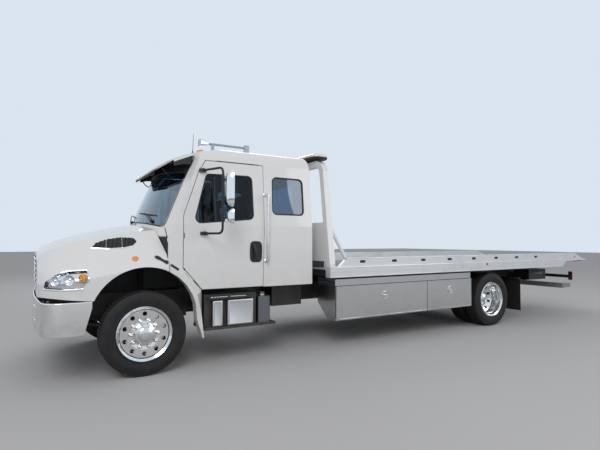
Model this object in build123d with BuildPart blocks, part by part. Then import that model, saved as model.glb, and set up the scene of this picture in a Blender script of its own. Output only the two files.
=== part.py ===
from build123d import *
from math import atan2, cos, degrees, radians, sin, sqrt
import os

# A two-axle rollback tow truck: extended cab, tilting hood, steel bed that slides and tilts,
# stainless toolboxes under the bed and a wheel lift at the tail.
# Millimetres. +X points to the front, +Y to the truck's left, +Z up. The ground is Z = 0 and
# X = 0 lies midway between the front of the bumper and the tip of the bed.

# Clearances
pin_fit = 0.3
seat_gap = 0.3
panel_gap = 8

# Axles, tyres and wheels
front_axle_x = 3955
wheelbase = 5842
tyre_radius = 455
tyre_width = 255
bead_radius = 287
front_tyre_y = 1025
dual_mount_y = 920
dual_offset = 165
kingpin_y = 880
spindle_radius = 45
rear_spindle_radius = 50
wheel_disc = 22
hand_holes = 10
hand_hole_radius = 24
hand_hole_circle = 215

# Chassis frame
front_overhang = 1030
bumper_to_cab_back = 3230
rail_top_z = 840
rail_depth = 250
rail_outer_y = 432
rail_flange = 72
rail_plate = 12
cheek_plate = 22
rail_rear_x = -4120

# Bumper
bumper_half_width = 1170
bumper_bottom_z = 500
bumper_height = 340
bumper_return = 430
bumper_bracket = 12
bumper_plate = 12
bumper_corner = 190
bumper_bow = 70

# Hood and fenders
nose_setback = 20
nose_bottom_z = 885
fender_bottom_z = 842
hood_wall = 22
arch_radius = 562
arch_centre_z = 612
wheel_house_gap = 30
wheel_house_y = 560
hood_rear_side_x = 3713
hood_rear_bow = 200
hood_pivot_inset = 40
hood_ear_y = 345
hood_pin_radius = 12
grille_half_width = 430
grille_bottom_z = 925
grille_top_z = 1300
grille_bars = 6
hood_corner = 50
lamp_depth = 60
lamp_inner_y = 690
lamp_corner = 20
lamp_fit = 0.5
vent_corner = 12

# Cab
cab_half_width = 1050
cab_bottom_z = 883
belt_z = 1650
gutter_z = 2440
gutter_half_width = 970
gutter_lean = 12
gutter_rise = 45
roof_crown_z = 2690
shoulder_inset = 130
shoulder_drop = 85
cab_wall = 50
door_front_x = 3527
door_rear_x = 2490
cowl_rear_x = 3100
tunnel_half_width = 400
tunnel_top_z = 1250
tunnel_rear_x = 3380
floor_front_x = 3400
cab_mount_length = 120
cab_mount_width = 70
windshield_base_x = 3895
windshield_base_z = 1650
windshield_lean = 24
windshield_radius = 2400
glass_thickness = 6
glass_inset = 12
glass_fit = 0.4

# Subframe, tilt and slide
pivot_x = -4195
pivot_z = 880
subframe_height = 108
subframe_outer_y = 430
subframe_rail_width = 100
pad_height = 12
tilt_base_x = -945
tilt_base_z = 600
tilt_eye_x = 855
tilt_eye_z = 900
tilt_cylinder_y = 520
tilt_barrel_radius = 50
tilt_rod_radius = 30
tilt_base_pin = 22
tilt_pin_radius = 25

# Bed
bed_gap = 160
bed_length = 6580
bed_half_width = 1250
rail_step = 50
slot_start = 594
slot_pitch = 604
slot_count = 8
slot_length = 90
slot_depth = 18
bed_rail_bottom_z = 966
bed_rail_split_z = 1110
bed_rail_top_z = 1230
deck_top_z = 1070
deck_plate = 20
deck_pan_length = 560
deck_seam = 0.4
crossmember_pitch = 605
tail_length = 930

# Headboard and light bar
headboard_tube = 90
headboard_top_z = 2600
headboard_half_width = 1200
headboard_lean = 190
light_bar_half_length = 950
light_bar_width = 300
light_bar_height = 75
light_bar_foot = 22

# Toolboxes
toolbox_front_x = 1480
toolbox_split_x = -267
toolbox_rear_x = -1317
toolbox_outer_y = 1220
toolbox_inner_y = 775
toolbox_bottom_z = 385
toolbox_top_z = 939
toolbox_door_top_z = 844
toolbox_wall = 20
toolbox_door = 25

# Wheel lift
lift_hinge_x = -3900
lift_hinge_z = 545
lift_bar_x = -4560
lift_bar_half_width = 1000
lift_tube = 100
lift_pin_bore = 22
lift_hinge_radius = 24
lift_fork_length = 250
lift_fork_width = 110

# Reach of the blocks that cut right through
cut_x = 5200
cut_y = 1300
cut_z = 3000

# Places that follow from the sizes above
axle_z = tyre_radius
rear_axle_x = front_axle_x - wheelbase
bumper_front_x = front_axle_x + front_overhang
cab_rear_x = bumper_front_x - bumper_to_cab_back
nose_x = bumper_front_x - nose_setback
bed_front_x = cab_rear_x - bed_gap
bed_tail_x = bed_front_x - bed_length
rail_bottom_z = rail_top_z - rail_depth
rail_inner_y = rail_outer_y - rail_flange
cheek_y = rail_outer_y + cheek_plate
subframe_bottom_z = rail_top_z + 10
subframe_top_z = subframe_bottom_z + subframe_height - 10
slide_z = subframe_top_z + pad_height + seat_gap
subframe_inner_y = subframe_outer_y - subframe_rail_width
sides = (("left", 1), ("right", -1))

os.makedirs("parts", exist_ok=True)


def block(x_low, x_high, y_low, y_high, z_low, z_high, mode=Mode.ADD):
    """Add a plain block, given by its limits, to the part being built."""
    middle = ((x_low + x_high) / 2, (y_low + y_high) / 2, (z_low + z_high) / 2)
    with Locations(middle):
        Box(abs(x_high - x_low), abs(y_high - y_low), abs(z_high - z_low), mode=mode)


def side_shape(points, y_low, y_high, mode=Mode.ADD, rounding=0, grow=0):
    """Add the solid whose side view is the outline of (x, z) points, widened by grow."""
    with BuildSketch(Plane.XZ.offset(-y_low)) as outline:
        Polygon(*points, align=None)
        if grow:
            offset(amount=grow, kind=Kind.INTERSECTION)
        if rounding:
            fillet(outline.vertices(), rounding)
    extrude(outline.sketch, amount=y_low - y_high, mode=mode)


def cross_shape(points, x_low, x_high, mode=Mode.ADD, rounding=0):
    """Add the solid whose front view is the outline of (y, z) points."""
    with BuildSketch(Plane.YZ.offset(x_low)) as outline:
        Polygon(*points, align=None)
        if rounding:
            fillet(outline.vertices(), rounding)
    extrude(outline.sketch, amount=x_high - x_low, mode=mode)


def rod(start, end, radius, mode=Mode.ADD):
    """Add a round bar between two points."""
    run = Vector(*end) - Vector(*start)
    with BuildSketch(Plane(origin=start, z_dir=run)) as section:
        Circle(radius)
    extrude(section.sketch, amount=run.length, mode=mode)


def turned(points, centre, mode=Mode.ADD):
    """Add the ring whose section is the outline of (radius, y) points about a cross axis."""
    with BuildSketch(Plane(origin=centre, x_dir=(1, 0, 0), z_dir=(0, 0, 1))) as section:
        Polygon(*points, align=None)
    revolve(section.sketch, axis=Axis(centre, (0, 1, 0)), mode=mode)


def sagitta(half_chord, radius):
    """Depth of an arc below its crown at a half chord."""
    return radius - sqrt(radius ** 2 - half_chord ** 2)


# Outer form of the cab. An inset gives the same form inside a wall of that thickness, and the
# cab's panels, doors and glass are all cut from layers between two such forms.
slope = radians(windshield_lean)
slope_dir = Vector(-sin(slope), 0, cos(slope))
windshield_normal = Vector(cos(slope), 0, sin(slope))


def cab_form(inset):
    """The cab's solid form, with every wall moved in by the inset."""
    half = cab_half_width - inset
    gutter = gutter_half_width - inset
    crown = roof_crown_z - inset
    rear = cab_rear_x + inset
    arc_x = windshield_base_x - inset
    wheel_house = arch_radius + wheel_house_gap + inset
    with BuildPart() as form:
        with BuildSketch(Plane.YZ.offset(rear)) as section:
            with BuildLine():
                Polyline((-half, cab_bottom_z + inset), (half, cab_bottom_z + inset), (half, belt_z),
                         (gutter, gutter_z))
                rise = Line((gutter, gutter_z), (gutter - gutter_lean, gutter_z + gutter_rise))
                corner = TangentArc(rise @ 1, (gutter - shoulder_inset, crown - shoulder_drop),
                                    tangent=rise % 1)
                ThreePointArc(corner @ 1, (0, crown), (-(gutter - shoulder_inset), crown - shoulder_drop))
                TangentArc((-gutter + gutter_lean, gutter_z + gutter_rise),
                           (-(gutter - shoulder_inset), crown - shoulder_drop),
                           tangent=(gutter_lean, gutter_rise))
                Polyline((-gutter + gutter_lean, gutter_z + gutter_rise), (-gutter, gutter_z),
                         (-half, belt_z), (-half, cab_bottom_z + inset))
            make_face()
        extrude(section.sketch, amount=arc_x - rear + 200)
        with BuildSketch(Plane.XZ) as profile:
            Polygon((rear, cab_bottom_z), (windshield_base_x + 100, cab_bottom_z),
                    (windshield_base_x + 100, belt_z - 20 - inset), (3560, 2380 - inset),
                    (3480, 2490 - inset), (3330, 2530 - inset), (2855, 2640 - inset),
                    (2355, 2690 - inset), (rear + 90, 2700 - inset), (rear + 20, 2610 - inset),
                    (rear, 2430), align=None)
        extrude(profile.sketch, amount=cab_half_width + 10, both=True, mode=Mode.INTERSECT)
        base = Vector(windshield_base_x, 0, windshield_base_z) - windshield_normal * inset
        with BuildSketch(Plane(origin=base, x_dir=(0, -1, 0), z_dir=slope_dir)) as bow:
            with BuildLine():
                ThreePointArc((-half - 100, -sagitta(half + 100, windshield_radius - inset)), (0, 0),
                              (half + 100, -sagitta(half + 100, windshield_radius - inset)))
                Polyline((half + 100, -sagitta(half + 100, windshield_radius - inset)),
                         (half + 100, -4000), (-half - 100, -4000),
                         (-half - 100, -sagitta(half + 100, windshield_radius - inset)))
            make_face()
        extrude(bow.sketch, amount=1800, both=True, mode=Mode.INTERSECT)
        cowl_radius = (hood_rear_bow ** 2 + cab_half_width ** 2) / (2 * hood_rear_bow) - inset
        cowl_x = hood_rear_side_x + hood_rear_bow - panel_gap - inset
        with BuildSketch(Plane.XY) as cowl_plan:
            with Locations((cowl_x - cowl_radius, 0)):
                Circle(cowl_radius)
            with Locations((rear - 500, 0)):
                Rectangle(2 * (3500 - rear + 500), 2 * cab_half_width + 200, mode=Mode.ADD)
        extrude(cowl_plan.sketch, amount=3000, mode=Mode.INTERSECT)
        block(tunnel_rear_x - inset, windshield_base_x + 200, -tunnel_half_width - inset,
              tunnel_half_width + inset, 0, tunnel_top_z + inset, mode=Mode.SUBTRACT)
        for y_low, y_high in ((wheel_house_y - inset, cut_y), (-cut_y, inset - wheel_house_y)):
            with BuildSketch(Plane.XZ.offset(-y_low)) as arch:
                with Locations((front_axle_x, arch_centre_z)):
                    Circle(wheel_house)
            extrude(arch.sketch, amount=y_low - y_high, mode=Mode.SUBTRACT)
    return form.part


cab_outer = cab_form(0)
cab_inner = cab_form(cab_wall)
glass_outer = cab_form(glass_inset)
glass_inner = cab_form(glass_inset + glass_thickness)
door_inner_y = cab_half_width - cab_wall
floor_edge_y = door_inner_y - seat_gap
floor_top_z = cab_bottom_z + cab_wall
cowl_front_x = hood_rear_side_x + hood_rear_bow

# Outlines seen from the side, as (x, z)
door_outline = [(door_front_x - 232, cab_bottom_z), (door_front_x, 1150), (door_front_x, 1745),
                (door_front_x - 196, 2290), (door_front_x - 285, gutter_z - 6),
                (door_rear_x - 24, gutter_z - 6), (door_rear_x, cab_bottom_z)]
door_window = [(door_front_x - 118, 1655), (door_rear_x + 131, 1726), (door_rear_x + 138, 2284),
               (door_front_x - 288, 2270)]
quarter_window = [(cab_rear_x + 119, 1795), (door_rear_x - 127, 1795), (door_rear_x - 142, 2297),
                  (cab_rear_x + 119, 2297)]
back_window = [(-620, 1840), (620, 1840), (580, 2270), (-580, 2270)]
window_corner = 70
windshield_outline = [(-905, 35), (905, 35), (855, 775), (-855, 775)]


def windshield_cut(grow, mode):
    """Rounded prism through the slanted windshield, square to its face."""
    base = (windshield_base_x, 0, windshield_base_z)
    with BuildSketch(Plane(origin=base, x_dir=(0, 1, 0), z_dir=windshield_normal)) as outline:
        Polygon(*windshield_outline, align=None)
        offset(amount=grow, kind=Kind.INTERSECTION)
        fillet(outline.vertices(), window_corner)
    extrude(outline.sketch, amount=330, both=True, mode=mode)


def back_window_cut(grow, mode):
    """Rounded prism through the rear wall of the cab."""
    with BuildSketch(Plane.YZ.offset(cab_rear_x - 20)) as outline:
        Polygon(*back_window, align=None)
        offset(amount=grow, kind=Kind.INTERSECTION)
        fillet(outline.vertices(), window_corner)
    extrude(outline.sketch, amount=cab_wall + 40, mode=mode)


def y_band(sign, inner, outer):
    """Limits in y of a band on one side of the truck, lowest first."""
    return (inner, outer) if sign > 0 else (-outer, -inner)


# Cab floor, a pan between the sills with the front of the engine tunnel and four mounts
with BuildPart() as cab_floor:
    add(cab_outer)
    add(cab_inner, mode=Mode.SUBTRACT)
    block(cab_rear_x + cab_wall, floor_front_x, -floor_edge_y, floor_edge_y, cab_bottom_z,
          tunnel_top_z + cab_wall + 10, mode=Mode.INTERSECT)
    for mount_x in (cab_rear_x + 250, floor_front_x - 150):
        for mount_y in (rail_outer_y - 40, 40 - rail_outer_y):
            block(mount_x - cab_mount_length / 2, mount_x + cab_mount_length / 2,
                  mount_y - cab_mount_width / 2, mount_y + cab_mount_width / 2, rail_top_z, cab_bottom_z)
cab_floor.part.label = "cab_floor"
export_step(cab_floor.part, "parts/cab_floor.step")

# Cowl, firewall, wheel houses and windshield frame, up to the roof joint
with BuildPart() as cab_cowl:
    add(cab_outer)
    add(cab_inner, mode=Mode.SUBTRACT)
    block(cab_rear_x - 10, floor_front_x, -cut_y, cut_y, 0, tunnel_top_z + cab_wall + 10, mode=Mode.SUBTRACT)
    block(cab_rear_x - 10, cowl_rear_x, -cut_y, cut_y, 0, cut_z, mode=Mode.SUBTRACT)
    block(0, cut_x, -cut_y, cut_y, gutter_z, cut_z, mode=Mode.SUBTRACT)
    side_shape(door_outline, -cut_y, cut_y, mode=Mode.SUBTRACT)
    windshield_cut(0, Mode.SUBTRACT)
cab_cowl.part.label = "cab_cowl"
export_step(cab_cowl.part, "parts/cab_cowl.step")

# Roof cap
with BuildPart() as cab_roof:
    add(cab_outer)
    add(cab_inner, mode=Mode.SUBTRACT)
    block(0, cut_x, -cut_y, cut_y, 0, gutter_z, mode=Mode.SUBTRACT)
cab_roof.part.label = "cab_roof"
export_step(cab_roof.part, "parts/cab_roof.step")

# Rear wall and the side walls behind the doors, with their window openings
with BuildPart() as cab_rear:
    add(cab_outer)
    add(cab_inner, mode=Mode.SUBTRACT)
    block(cab_rear_x, door_rear_x + 40, -cut_y, cut_y, 0, gutter_z, mode=Mode.INTERSECT)
    block(cab_rear_x + cab_wall, cut_x, -floor_edge_y, floor_edge_y, 0, floor_top_z, mode=Mode.SUBTRACT)
    block(cab_rear_x + cab_wall, cut_x, -800, 800, 0, cut_z, mode=Mode.SUBTRACT)
    side_shape(door_outline, -cut_y, cut_y, mode=Mode.SUBTRACT)
    side_shape(quarter_window, -cut_y, cut_y, mode=Mode.SUBTRACT, rounding=window_corner)
    back_window_cut(0, Mode.SUBTRACT)
cab_rear.part.label = "cab_rear"
export_step(cab_rear.part, "parts/cab_rear.step")

# Fixed glass: windshield, quarter windows and rear window
with BuildPart() as windshield:
    add(glass_outer)
    add(glass_inner, mode=Mode.SUBTRACT)
    windshield_cut(-glass_fit, Mode.INTERSECT)
with BuildPart() as quarter_glass:
    add(glass_outer)
    add(glass_inner, mode=Mode.SUBTRACT)
    side_shape(quarter_window, -cut_y, cut_y, mode=Mode.INTERSECT, rounding=window_corner - glass_fit,
               grow=-glass_fit)
with BuildPart() as back_glass:
    add(glass_outer)
    add(glass_inner, mode=Mode.SUBTRACT)
    back_window_cut(-glass_fit, Mode.INTERSECT)
with BuildPart() as cab_glass:
    add(windshield.part)
    add(quarter_glass.part)
    add(back_glass.part)
cab_glass.part.label = "cab_glass"
export_step(cab_glass.part, "parts/cab_glass.step")

# Doors: a slice of the cab wall with its window opening, and the pane in it
for side, sign in sides:
    y_low, y_high = y_band(sign, 700, cut_y)
    with BuildPart() as door:
        add(cab_outer)
        add(cab_inner, mode=Mode.SUBTRACT)
        side_shape(door_outline, y_low, y_high, mode=Mode.INTERSECT, grow=-panel_gap)
        block(0, cut_x, -floor_edge_y - seat_gap, floor_edge_y + seat_gap, 0, floor_top_z,
              mode=Mode.SUBTRACT)
        side_shape(door_window, y_low, y_high, mode=Mode.SUBTRACT, rounding=window_corner)
    door.part.label = f"door_{side}"
    export_step(door.part, f"parts/door_{side}.step")
    with BuildPart() as door_glass:
        add(glass_outer)
        add(glass_inner, mode=Mode.SUBTRACT)
        side_shape(door_window, y_low, y_high, mode=Mode.INTERSECT,
                   rounding=window_corner - glass_fit, grow=-glass_fit)
    door_glass.part.label = f"door_glass_{side}"
    export_step(door_glass.part, f"parts/door_glass_{side}.step")


# Hood: sections from the nose back to the cowl, each with a fender top, haunch and shoulder.
# Columns: x, bottom z, fender half-width, fender z, haunch y, haunch z, shoulder y, shoulder z,
# crown z.
hood_sections = (
    (nose_x, nose_bottom_z, 880, 1010, 830, 1130, 620, 1290, 1345),
    (nose_x - 135, 880, 1075, 1030, 1000, 1155, 720, 1365, 1435),
    (nose_x - 485, fender_bottom_z, 1160, 1085, 1065, 1205, 790, 1475, 1552),
    (front_axle_x, fender_bottom_z, bumper_half_width, 1180, 1085, 1262, 810, 1565, 1662),
    (hood_rear_side_x - 23, fender_bottom_z, bumper_half_width, 1165, 1075, 1268, 830, 1600, 1700),
)


def hood_form(inset):
    """The closed form of the hood, moved in by the inset and run past its open ends."""
    drop = 10 if inset else 0
    with BuildPart() as form:
        for (x, bottom, fender_y, fender_z, haunch_y, haunch_z,
             shoulder_y, shoulder_z, crown) in hood_sections:
            if x == nose_x:
                plane_x = x - inset
            else:
                plane_x = x - drop if x < front_axle_x else x
            half = [(fender_y - inset, bottom - drop), (fender_y - inset, fender_z - 0.4 * inset),
                    (haunch_y - 0.7 * inset, haunch_z - 0.7 * inset),
                    (shoulder_y - 0.6 * inset, shoulder_z - 0.8 * inset)]
            with BuildSketch(Plane.YZ.offset(plane_x)) as section:
                with BuildLine():
                    Polyline(*half)
                    ThreePointArc(half[3], (0, crown - inset), (-half[3][0], half[3][1]))
                    Polyline(*[(-y, z) for y, z in reversed(half)], half[0])
                make_face()
                fillet(section.vertices().filter_by(lambda v: v.Y > bottom + 20), hood_corner)
        loft()
    return form.part


hood_outer = hood_form(0)
hood_inner = hood_form(hood_wall)
lamp_inner = hood_form(lamp_depth)
hood_pivot_x = nose_x - hood_pivot_inset
hood_pivot_z = nose_bottom_z
headlamp_outline = [(nose_x - 50, 970), (nose_x - 66, 1045), (nose_x - 150, 1116), (nose_x - 258, 1148),
                    (nose_x - 438, 1156), (nose_x - 450, 1040), (nose_x - 390, 966), (nose_x - 200, 960)]
vent_outline = [(4478, 1380), (4412, 1436), (4310, 1473), (4180, 1494), (4042, 1490), (4008, 1452),
                (4048, 1404), (4140, 1383), (4290, 1372)]
arch_liner = 8
arch_liner_radius = arch_radius + 14


def hood_rear_cut(clearance, mode):
    """Trim a solid to the bowed rear edge of the hood, seen in plan."""
    edge_radius = (hood_rear_bow ** 2 + cab_half_width ** 2) / (2 * hood_rear_bow)
    with BuildSketch(Plane.XY) as plan:
        with Locations((cowl_front_x - edge_radius + clearance, 0)):
            Circle(edge_radius)
    extrude(plan.sketch, amount=2500, mode=mode)


def grille_shape(grow, x_low, x_high, mode):
    """Prism with the grille's tapered outline, seen from the front."""
    low, high = grille_half_width * 0.85, grille_half_width
    with BuildSketch(Plane.YZ.offset(x_low)) as outline:
        Polygon((-low, grille_bottom_z), (low, grille_bottom_z), (high, grille_top_z),
                (-high, grille_top_z), align=None)
        offset(amount=grow, kind=Kind.INTERSECTION)
        fillet(outline.vertices(), 40)
    extrude(outline.sketch, amount=x_high - x_low, mode=mode)


# Splash liners over the front tyres, bonded inside the hood
with BuildPart() as arch_liners:
    with BuildSketch(Plane.XZ) as ring:
        with Locations((front_axle_x, arch_centre_z)):
            Circle(arch_liner_radius + arch_liner)
            Circle(arch_liner_radius, mode=Mode.SUBTRACT)
    extrude(ring.sketch, amount=bumper_half_width, both=True)
    add(hood_form(hood_wall - 4), mode=Mode.INTERSECT)
    block(0, cut_x, -680, 680, 0, cut_z, mode=Mode.SUBTRACT)

# Hood with both front fenders in one moulding, hinged at the foot of its nose
with BuildPart() as hood_shell:
    add(hood_outer)
    add(hood_inner, mode=Mode.SUBTRACT)
    add(arch_liners.part)
    hood_rear_cut(0, Mode.SUBTRACT)
    block(0, cut_x, -cut_y, cut_y, 0, fender_bottom_z, mode=Mode.SUBTRACT)
    block(0, hood_rear_side_x, -cut_y, cut_y, 0, cut_z, mode=Mode.SUBTRACT)
    with BuildSketch(Plane.XZ) as arch:
        with Locations((front_axle_x, arch_centre_z)):
            Circle(arch_radius)
    extrude(arch.sketch, amount=cut_y, both=True, mode=Mode.SUBTRACT)
    grille_shape(0, nose_x - 200, nose_x + 50, Mode.SUBTRACT)
    for side, sign in sides:
        y_low, y_high = y_band(sign, lamp_inner_y, cut_y)
        side_shape(headlamp_outline, y_low, y_high, mode=Mode.SUBTRACT, rounding=lamp_corner)
        y_low, y_high = y_band(sign, 700, 1100)
        side_shape(vent_outline, y_low, y_high, mode=Mode.SUBTRACT, rounding=vent_corner)
        y_low, y_high = y_band(sign, hood_ear_y, hood_ear_y + 20)
        side_shape([(hood_pivot_x - 22, hood_pivot_z - 22), (hood_pivot_x + 22, hood_pivot_z - 22),
                    (nose_x - 8, hood_pivot_z + 30), (hood_pivot_x - 22, hood_pivot_z + 30)],
                   y_low, y_high)
        with BuildSketch(Plane.XZ.offset(-y_low)) as bore:
            with Locations((hood_pivot_x, hood_pivot_z)):
                Circle(hood_pin_radius + pin_fit)
        extrude(bore.sketch, amount=y_low - y_high, mode=Mode.SUBTRACT)
hood_shell.part.label = "hood_shell"
export_step(hood_shell.part, "parts/hood_shell.step")

# Grilles: the front one, a frame with level bars, and the louvres in the hood's side vents
with BuildPart() as grille_bar_set:
    pitch = (grille_top_z - grille_bottom_z) / (grille_bars + 1)
    for row in range(grille_bars):
        bar_z = grille_bottom_z + pitch * (row + 1)
        block(nose_x - hood_wall, nose_x - 2, -grille_half_width, grille_half_width,
              bar_z - 11, bar_z + 11)
    block(nose_x - hood_wall, nose_x - 8, -8, 8, grille_bottom_z, grille_top_z)
    grille_shape(-10, nose_x - 100, nose_x, Mode.INTERSECT)
with BuildPart() as vent_louvres:
    add(hood_outer)
    add(hood_inner, mode=Mode.SUBTRACT)
    side_shape(vent_outline, -1100, 1100, mode=Mode.INTERSECT, rounding=vent_corner, grow=-lamp_fit)
    block(0, cut_x, -700, 700, 0, cut_z, mode=Mode.SUBTRACT)
with BuildPart() as grilles:
    grille_shape(-0.5, nose_x - hood_wall, nose_x - 2, Mode.ADD)
    grille_shape(-28, nose_x - hood_wall, nose_x - 2, Mode.SUBTRACT)
    add(grille_bar_set.part)
    add(vent_louvres.part)
grilles.part.label = "grilles"
export_step(grilles.part, "parts/grilles.step")

# Headlamps, one lens and housing on each side, following the skin of the hood
with BuildPart() as headlamps:
    add(hood_outer)
    add(lamp_inner, mode=Mode.SUBTRACT)
    side_shape(headlamp_outline, -cut_y, cut_y, mode=Mode.INTERSECT,
               rounding=lamp_corner - lamp_fit, grow=-lamp_fit)
    block(0, cut_x, -lamp_inner_y, lamp_inner_y, 0, cut_z, mode=Mode.SUBTRACT)
headlamps.part.label = "headlamps"
export_step(headlamps.part, "parts/headlamps.step")

# Rear stretch of each front fender, fixed to the cab: it falls from the door seam to the arch
extension_top_z = 1262
extension_foot_z = 351


def arch_point(angle):
    """Point on the wheel arch at an angle above the level, measured from the rear."""
    return (front_axle_x - arch_radius * cos(radians(angle)),
            arch_centre_z + arch_radius * sin(radians(angle)))


arch_start = degrees(atan2(sqrt(arch_radius ** 2 - (front_axle_x - 3705) ** 2), front_axle_x - 3705))
with BuildPart() as fender_extensions:
    for side, sign in sides:
        lip = [arch_point(arch_start * share) for share in (1, 0.8, 0.6, 0.4, 0.2)]
        lip += [(3390, 560), (3322, extension_foot_z)]
        skin = [(3302, extension_foot_z), (3298, 700), (3303, 880), (door_front_x + 6, 1147),
                (door_front_x + 66, 1210), (3705, extension_top_z)]
        edge = [(3306, extension_foot_z), (3345, 660), (3390, 840), (3470, 985), (3590, 1100),
                (3705, 1175)]
        with BuildSketch(Plane.XZ.offset(-sign * cab_half_width)) as seam:
            Polygon(*(lip + skin), align=None)
        with BuildSketch(Plane.XZ.offset(-sign * bumper_half_width)) as rim:
            Polygon(*(lip + edge), align=None)
        loft([seam.sketch.face(), rim.sketch.face()], ruled=True)
fender_extensions.part.label = "fender_extensions"
export_step(fender_extensions.part, "parts/fender_extensions.step")

# Bumper, a pressed shell that wraps both front corners
bumper_top_z = bumper_bottom_z + bumper_height
bumper_rear_x = bumper_front_x - bumper_return - bumper_bow


def bumper_plan(inset, z, run):
    """Plan outline of the bumper, moved in by the inset and extruded upwards."""
    half = bumper_half_width - inset
    front = bumper_front_x - inset
    with BuildSketch(Plane.XY.offset(z)) as plan:
        with BuildLine():
            bow = ThreePointArc((front - bumper_bow, -half), (front, 0), (front - bumper_bow, half))
            Polyline(bow @ 1, (bumper_rear_x, half), (bumper_rear_x, -half), bow @ 0)
        make_face()
        fillet(plan.vertices().group_by(Axis.X)[-1], bumper_corner - inset)
    extrude(plan.sketch, amount=run)


bumper_bow_radius = (bumper_half_width ** 2 + bumper_bow ** 2) / (2 * bumper_bow)
bumper_skin_x = bumper_front_x - bumper_plate - sagitta(rail_outer_y, bumper_bow_radius)
rail_front_x = bumper_skin_x - 2
with BuildPart() as bumper_core:
    bumper_plan(bumper_plate, bumper_bottom_z - 10, bumper_height + 20)
    block(bumper_rear_x - 10, bumper_rear_x + 10, -cut_y, cut_y, 0, 1000, mode=Mode.SUBTRACT)
with BuildPart() as front_bumper:
    bumper_plan(0, bumper_bottom_z, bumper_height)
    fillet(front_bumper.faces().filter_by(Axis.Z).edges().filter_by(lambda e: e.center().X > 4700), 10)
    add(bumper_core.part, mode=Mode.SUBTRACT)
    block(bumper_rear_x - 50, bumper_rear_x + 30, -1100, 1100, 0, 1000, mode=Mode.SUBTRACT)
    for side, sign in sides:
        y_low, y_high = y_band(sign, 1000, cut_y)
        side_shape([(bumper_rear_x - 10, bumper_bottom_z - 5), (bumper_rear_x + 75, bumper_bottom_z - 5),
                    (bumper_rear_x - 10, bumper_top_z - 30)], y_low, y_high, mode=Mode.SUBTRACT)
        y_low, y_high = y_band(sign, rail_outer_y, rail_outer_y + bumper_bracket)
        block(rail_front_x - 130, bumper_skin_x + 2, y_low, y_high, rail_bottom_z + 30, rail_top_z - 50)
front_bumper.part.label = "front_bumper"
export_step(front_bumper.part, "parts/front_bumper.step")

# Frame: two channels, crossmembers, hood hinge ears, tilt cylinder feet and the tilt hinge
crossmember_x = (rail_front_x - 60, 2580, 1900, 1000, 100, -750, -1450, -2350, -3250, rail_rear_x + 60)
with BuildPart() as frame_rails:
    for side, sign in sides:
        y_low, y_high = y_band(sign, rail_inner_y, rail_outer_y)
        block(rail_rear_x, rail_front_x, y_low, y_high, rail_bottom_z, rail_top_z)
        y_low, y_high = y_band(sign, rail_inner_y - 10, rail_outer_y - rail_plate)
        block(rail_rear_x - 10, rail_front_x + 10, y_low, y_high, rail_bottom_z + rail_plate,
              rail_top_z - rail_plate, mode=Mode.SUBTRACT)
    for member_x in crossmember_x:
        block(member_x - 40, member_x + 40, rail_plate - rail_outer_y, rail_outer_y - rail_plate,
              rail_top_z - 125, rail_top_z - 25)
        block(member_x - 28, member_x + 28, -300, 300, rail_top_z - 130, rail_top_z - 37,
              mode=Mode.SUBTRACT)
    for side, sign in sides:
        y_low, y_high = y_band(sign, hood_ear_y + 30, hood_ear_y + 70)
        side_shape([(rail_front_x - 90, rail_top_z - 1), (rail_front_x - 50, rail_top_z - 1),
                    (hood_pivot_x + 6, hood_pivot_z + 12), (hood_pivot_x - 14, hood_pivot_z + 12)],
                   y_low, y_high)
        rod((hood_pivot_x, sign * (hood_ear_y + 50), hood_pivot_z),
            (hood_pivot_x, sign * (hood_ear_y - 5), hood_pivot_z), hood_pin_radius)
        for foot_y in (tilt_cylinder_y - 40, tilt_cylinder_y + 40):
            y_low, y_high = y_band(sign, foot_y - 8, foot_y + 8)
            side_shape([(tilt_base_x - 60, tilt_base_z - 70), (tilt_base_x + 60, tilt_base_z - 70),
                        (tilt_base_x + 30, tilt_base_z + 35), (tilt_base_x - 30, tilt_base_z + 35)],
                       y_low, y_high)
        y_low, y_high = y_band(sign, rail_outer_y - rail_plate, tilt_cylinder_y + 48)
        block(tilt_base_x - 60, tilt_base_x + 60, y_low, y_high, tilt_base_z - 90, tilt_base_z - 70)
        y_low, y_high = y_band(sign, rail_outer_y - rail_plate, rail_outer_y + 4)
        block(tilt_base_x - 60, tilt_base_x + 60, y_low, y_high, tilt_base_z - 90, tilt_base_z + 60)
        rod((tilt_base_x, sign * (tilt_cylinder_y - 45), tilt_base_z),
            (tilt_base_x, sign * (tilt_cylinder_y + 45), tilt_base_z), tilt_base_pin)
        y_low, y_high = y_band(sign, rail_outer_y, cheek_y)
        side_shape([(rail_rear_x + 220, rail_bottom_z + 30), (rail_rear_x + 220, rail_top_z - 20),
                    (pivot_x + 50, pivot_z + 40), (pivot_x - 45, pivot_z + 40),
                    (pivot_x - 45, pivot_z - 40), (rail_rear_x, rail_bottom_z + 30)], y_low, y_high)
        with BuildSketch(Plane.XZ.offset(-y_low)) as bore:
            with Locations((pivot_x, pivot_z)):
                Circle(tilt_pin_radius)
        extrude(bore.sketch, amount=y_low - y_high, mode=Mode.SUBTRACT)
        y_low, y_high = y_band(sign, 330, 350)
        side_shape([(rail_rear_x, rail_bottom_z), (rail_rear_x + 420, rail_bottom_z),
                    (lift_hinge_x + 50, lift_hinge_z - 50), (lift_hinge_x - 50, lift_hinge_z - 50)],
                   y_low, y_high)
        y_low, y_high = y_band(sign, 330, rail_outer_y)
        block(rail_rear_x + 10, rail_rear_x + 400, y_low, y_high, rail_bottom_z, rail_bottom_z + 15)
    rod((lift_hinge_x, -345, lift_hinge_z), (lift_hinge_x, 345, lift_hinge_z), lift_hinge_radius)
frame_rails.part.label = "frame_rails"
export_step(frame_rails.part, "parts/frame_rails.step")

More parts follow.
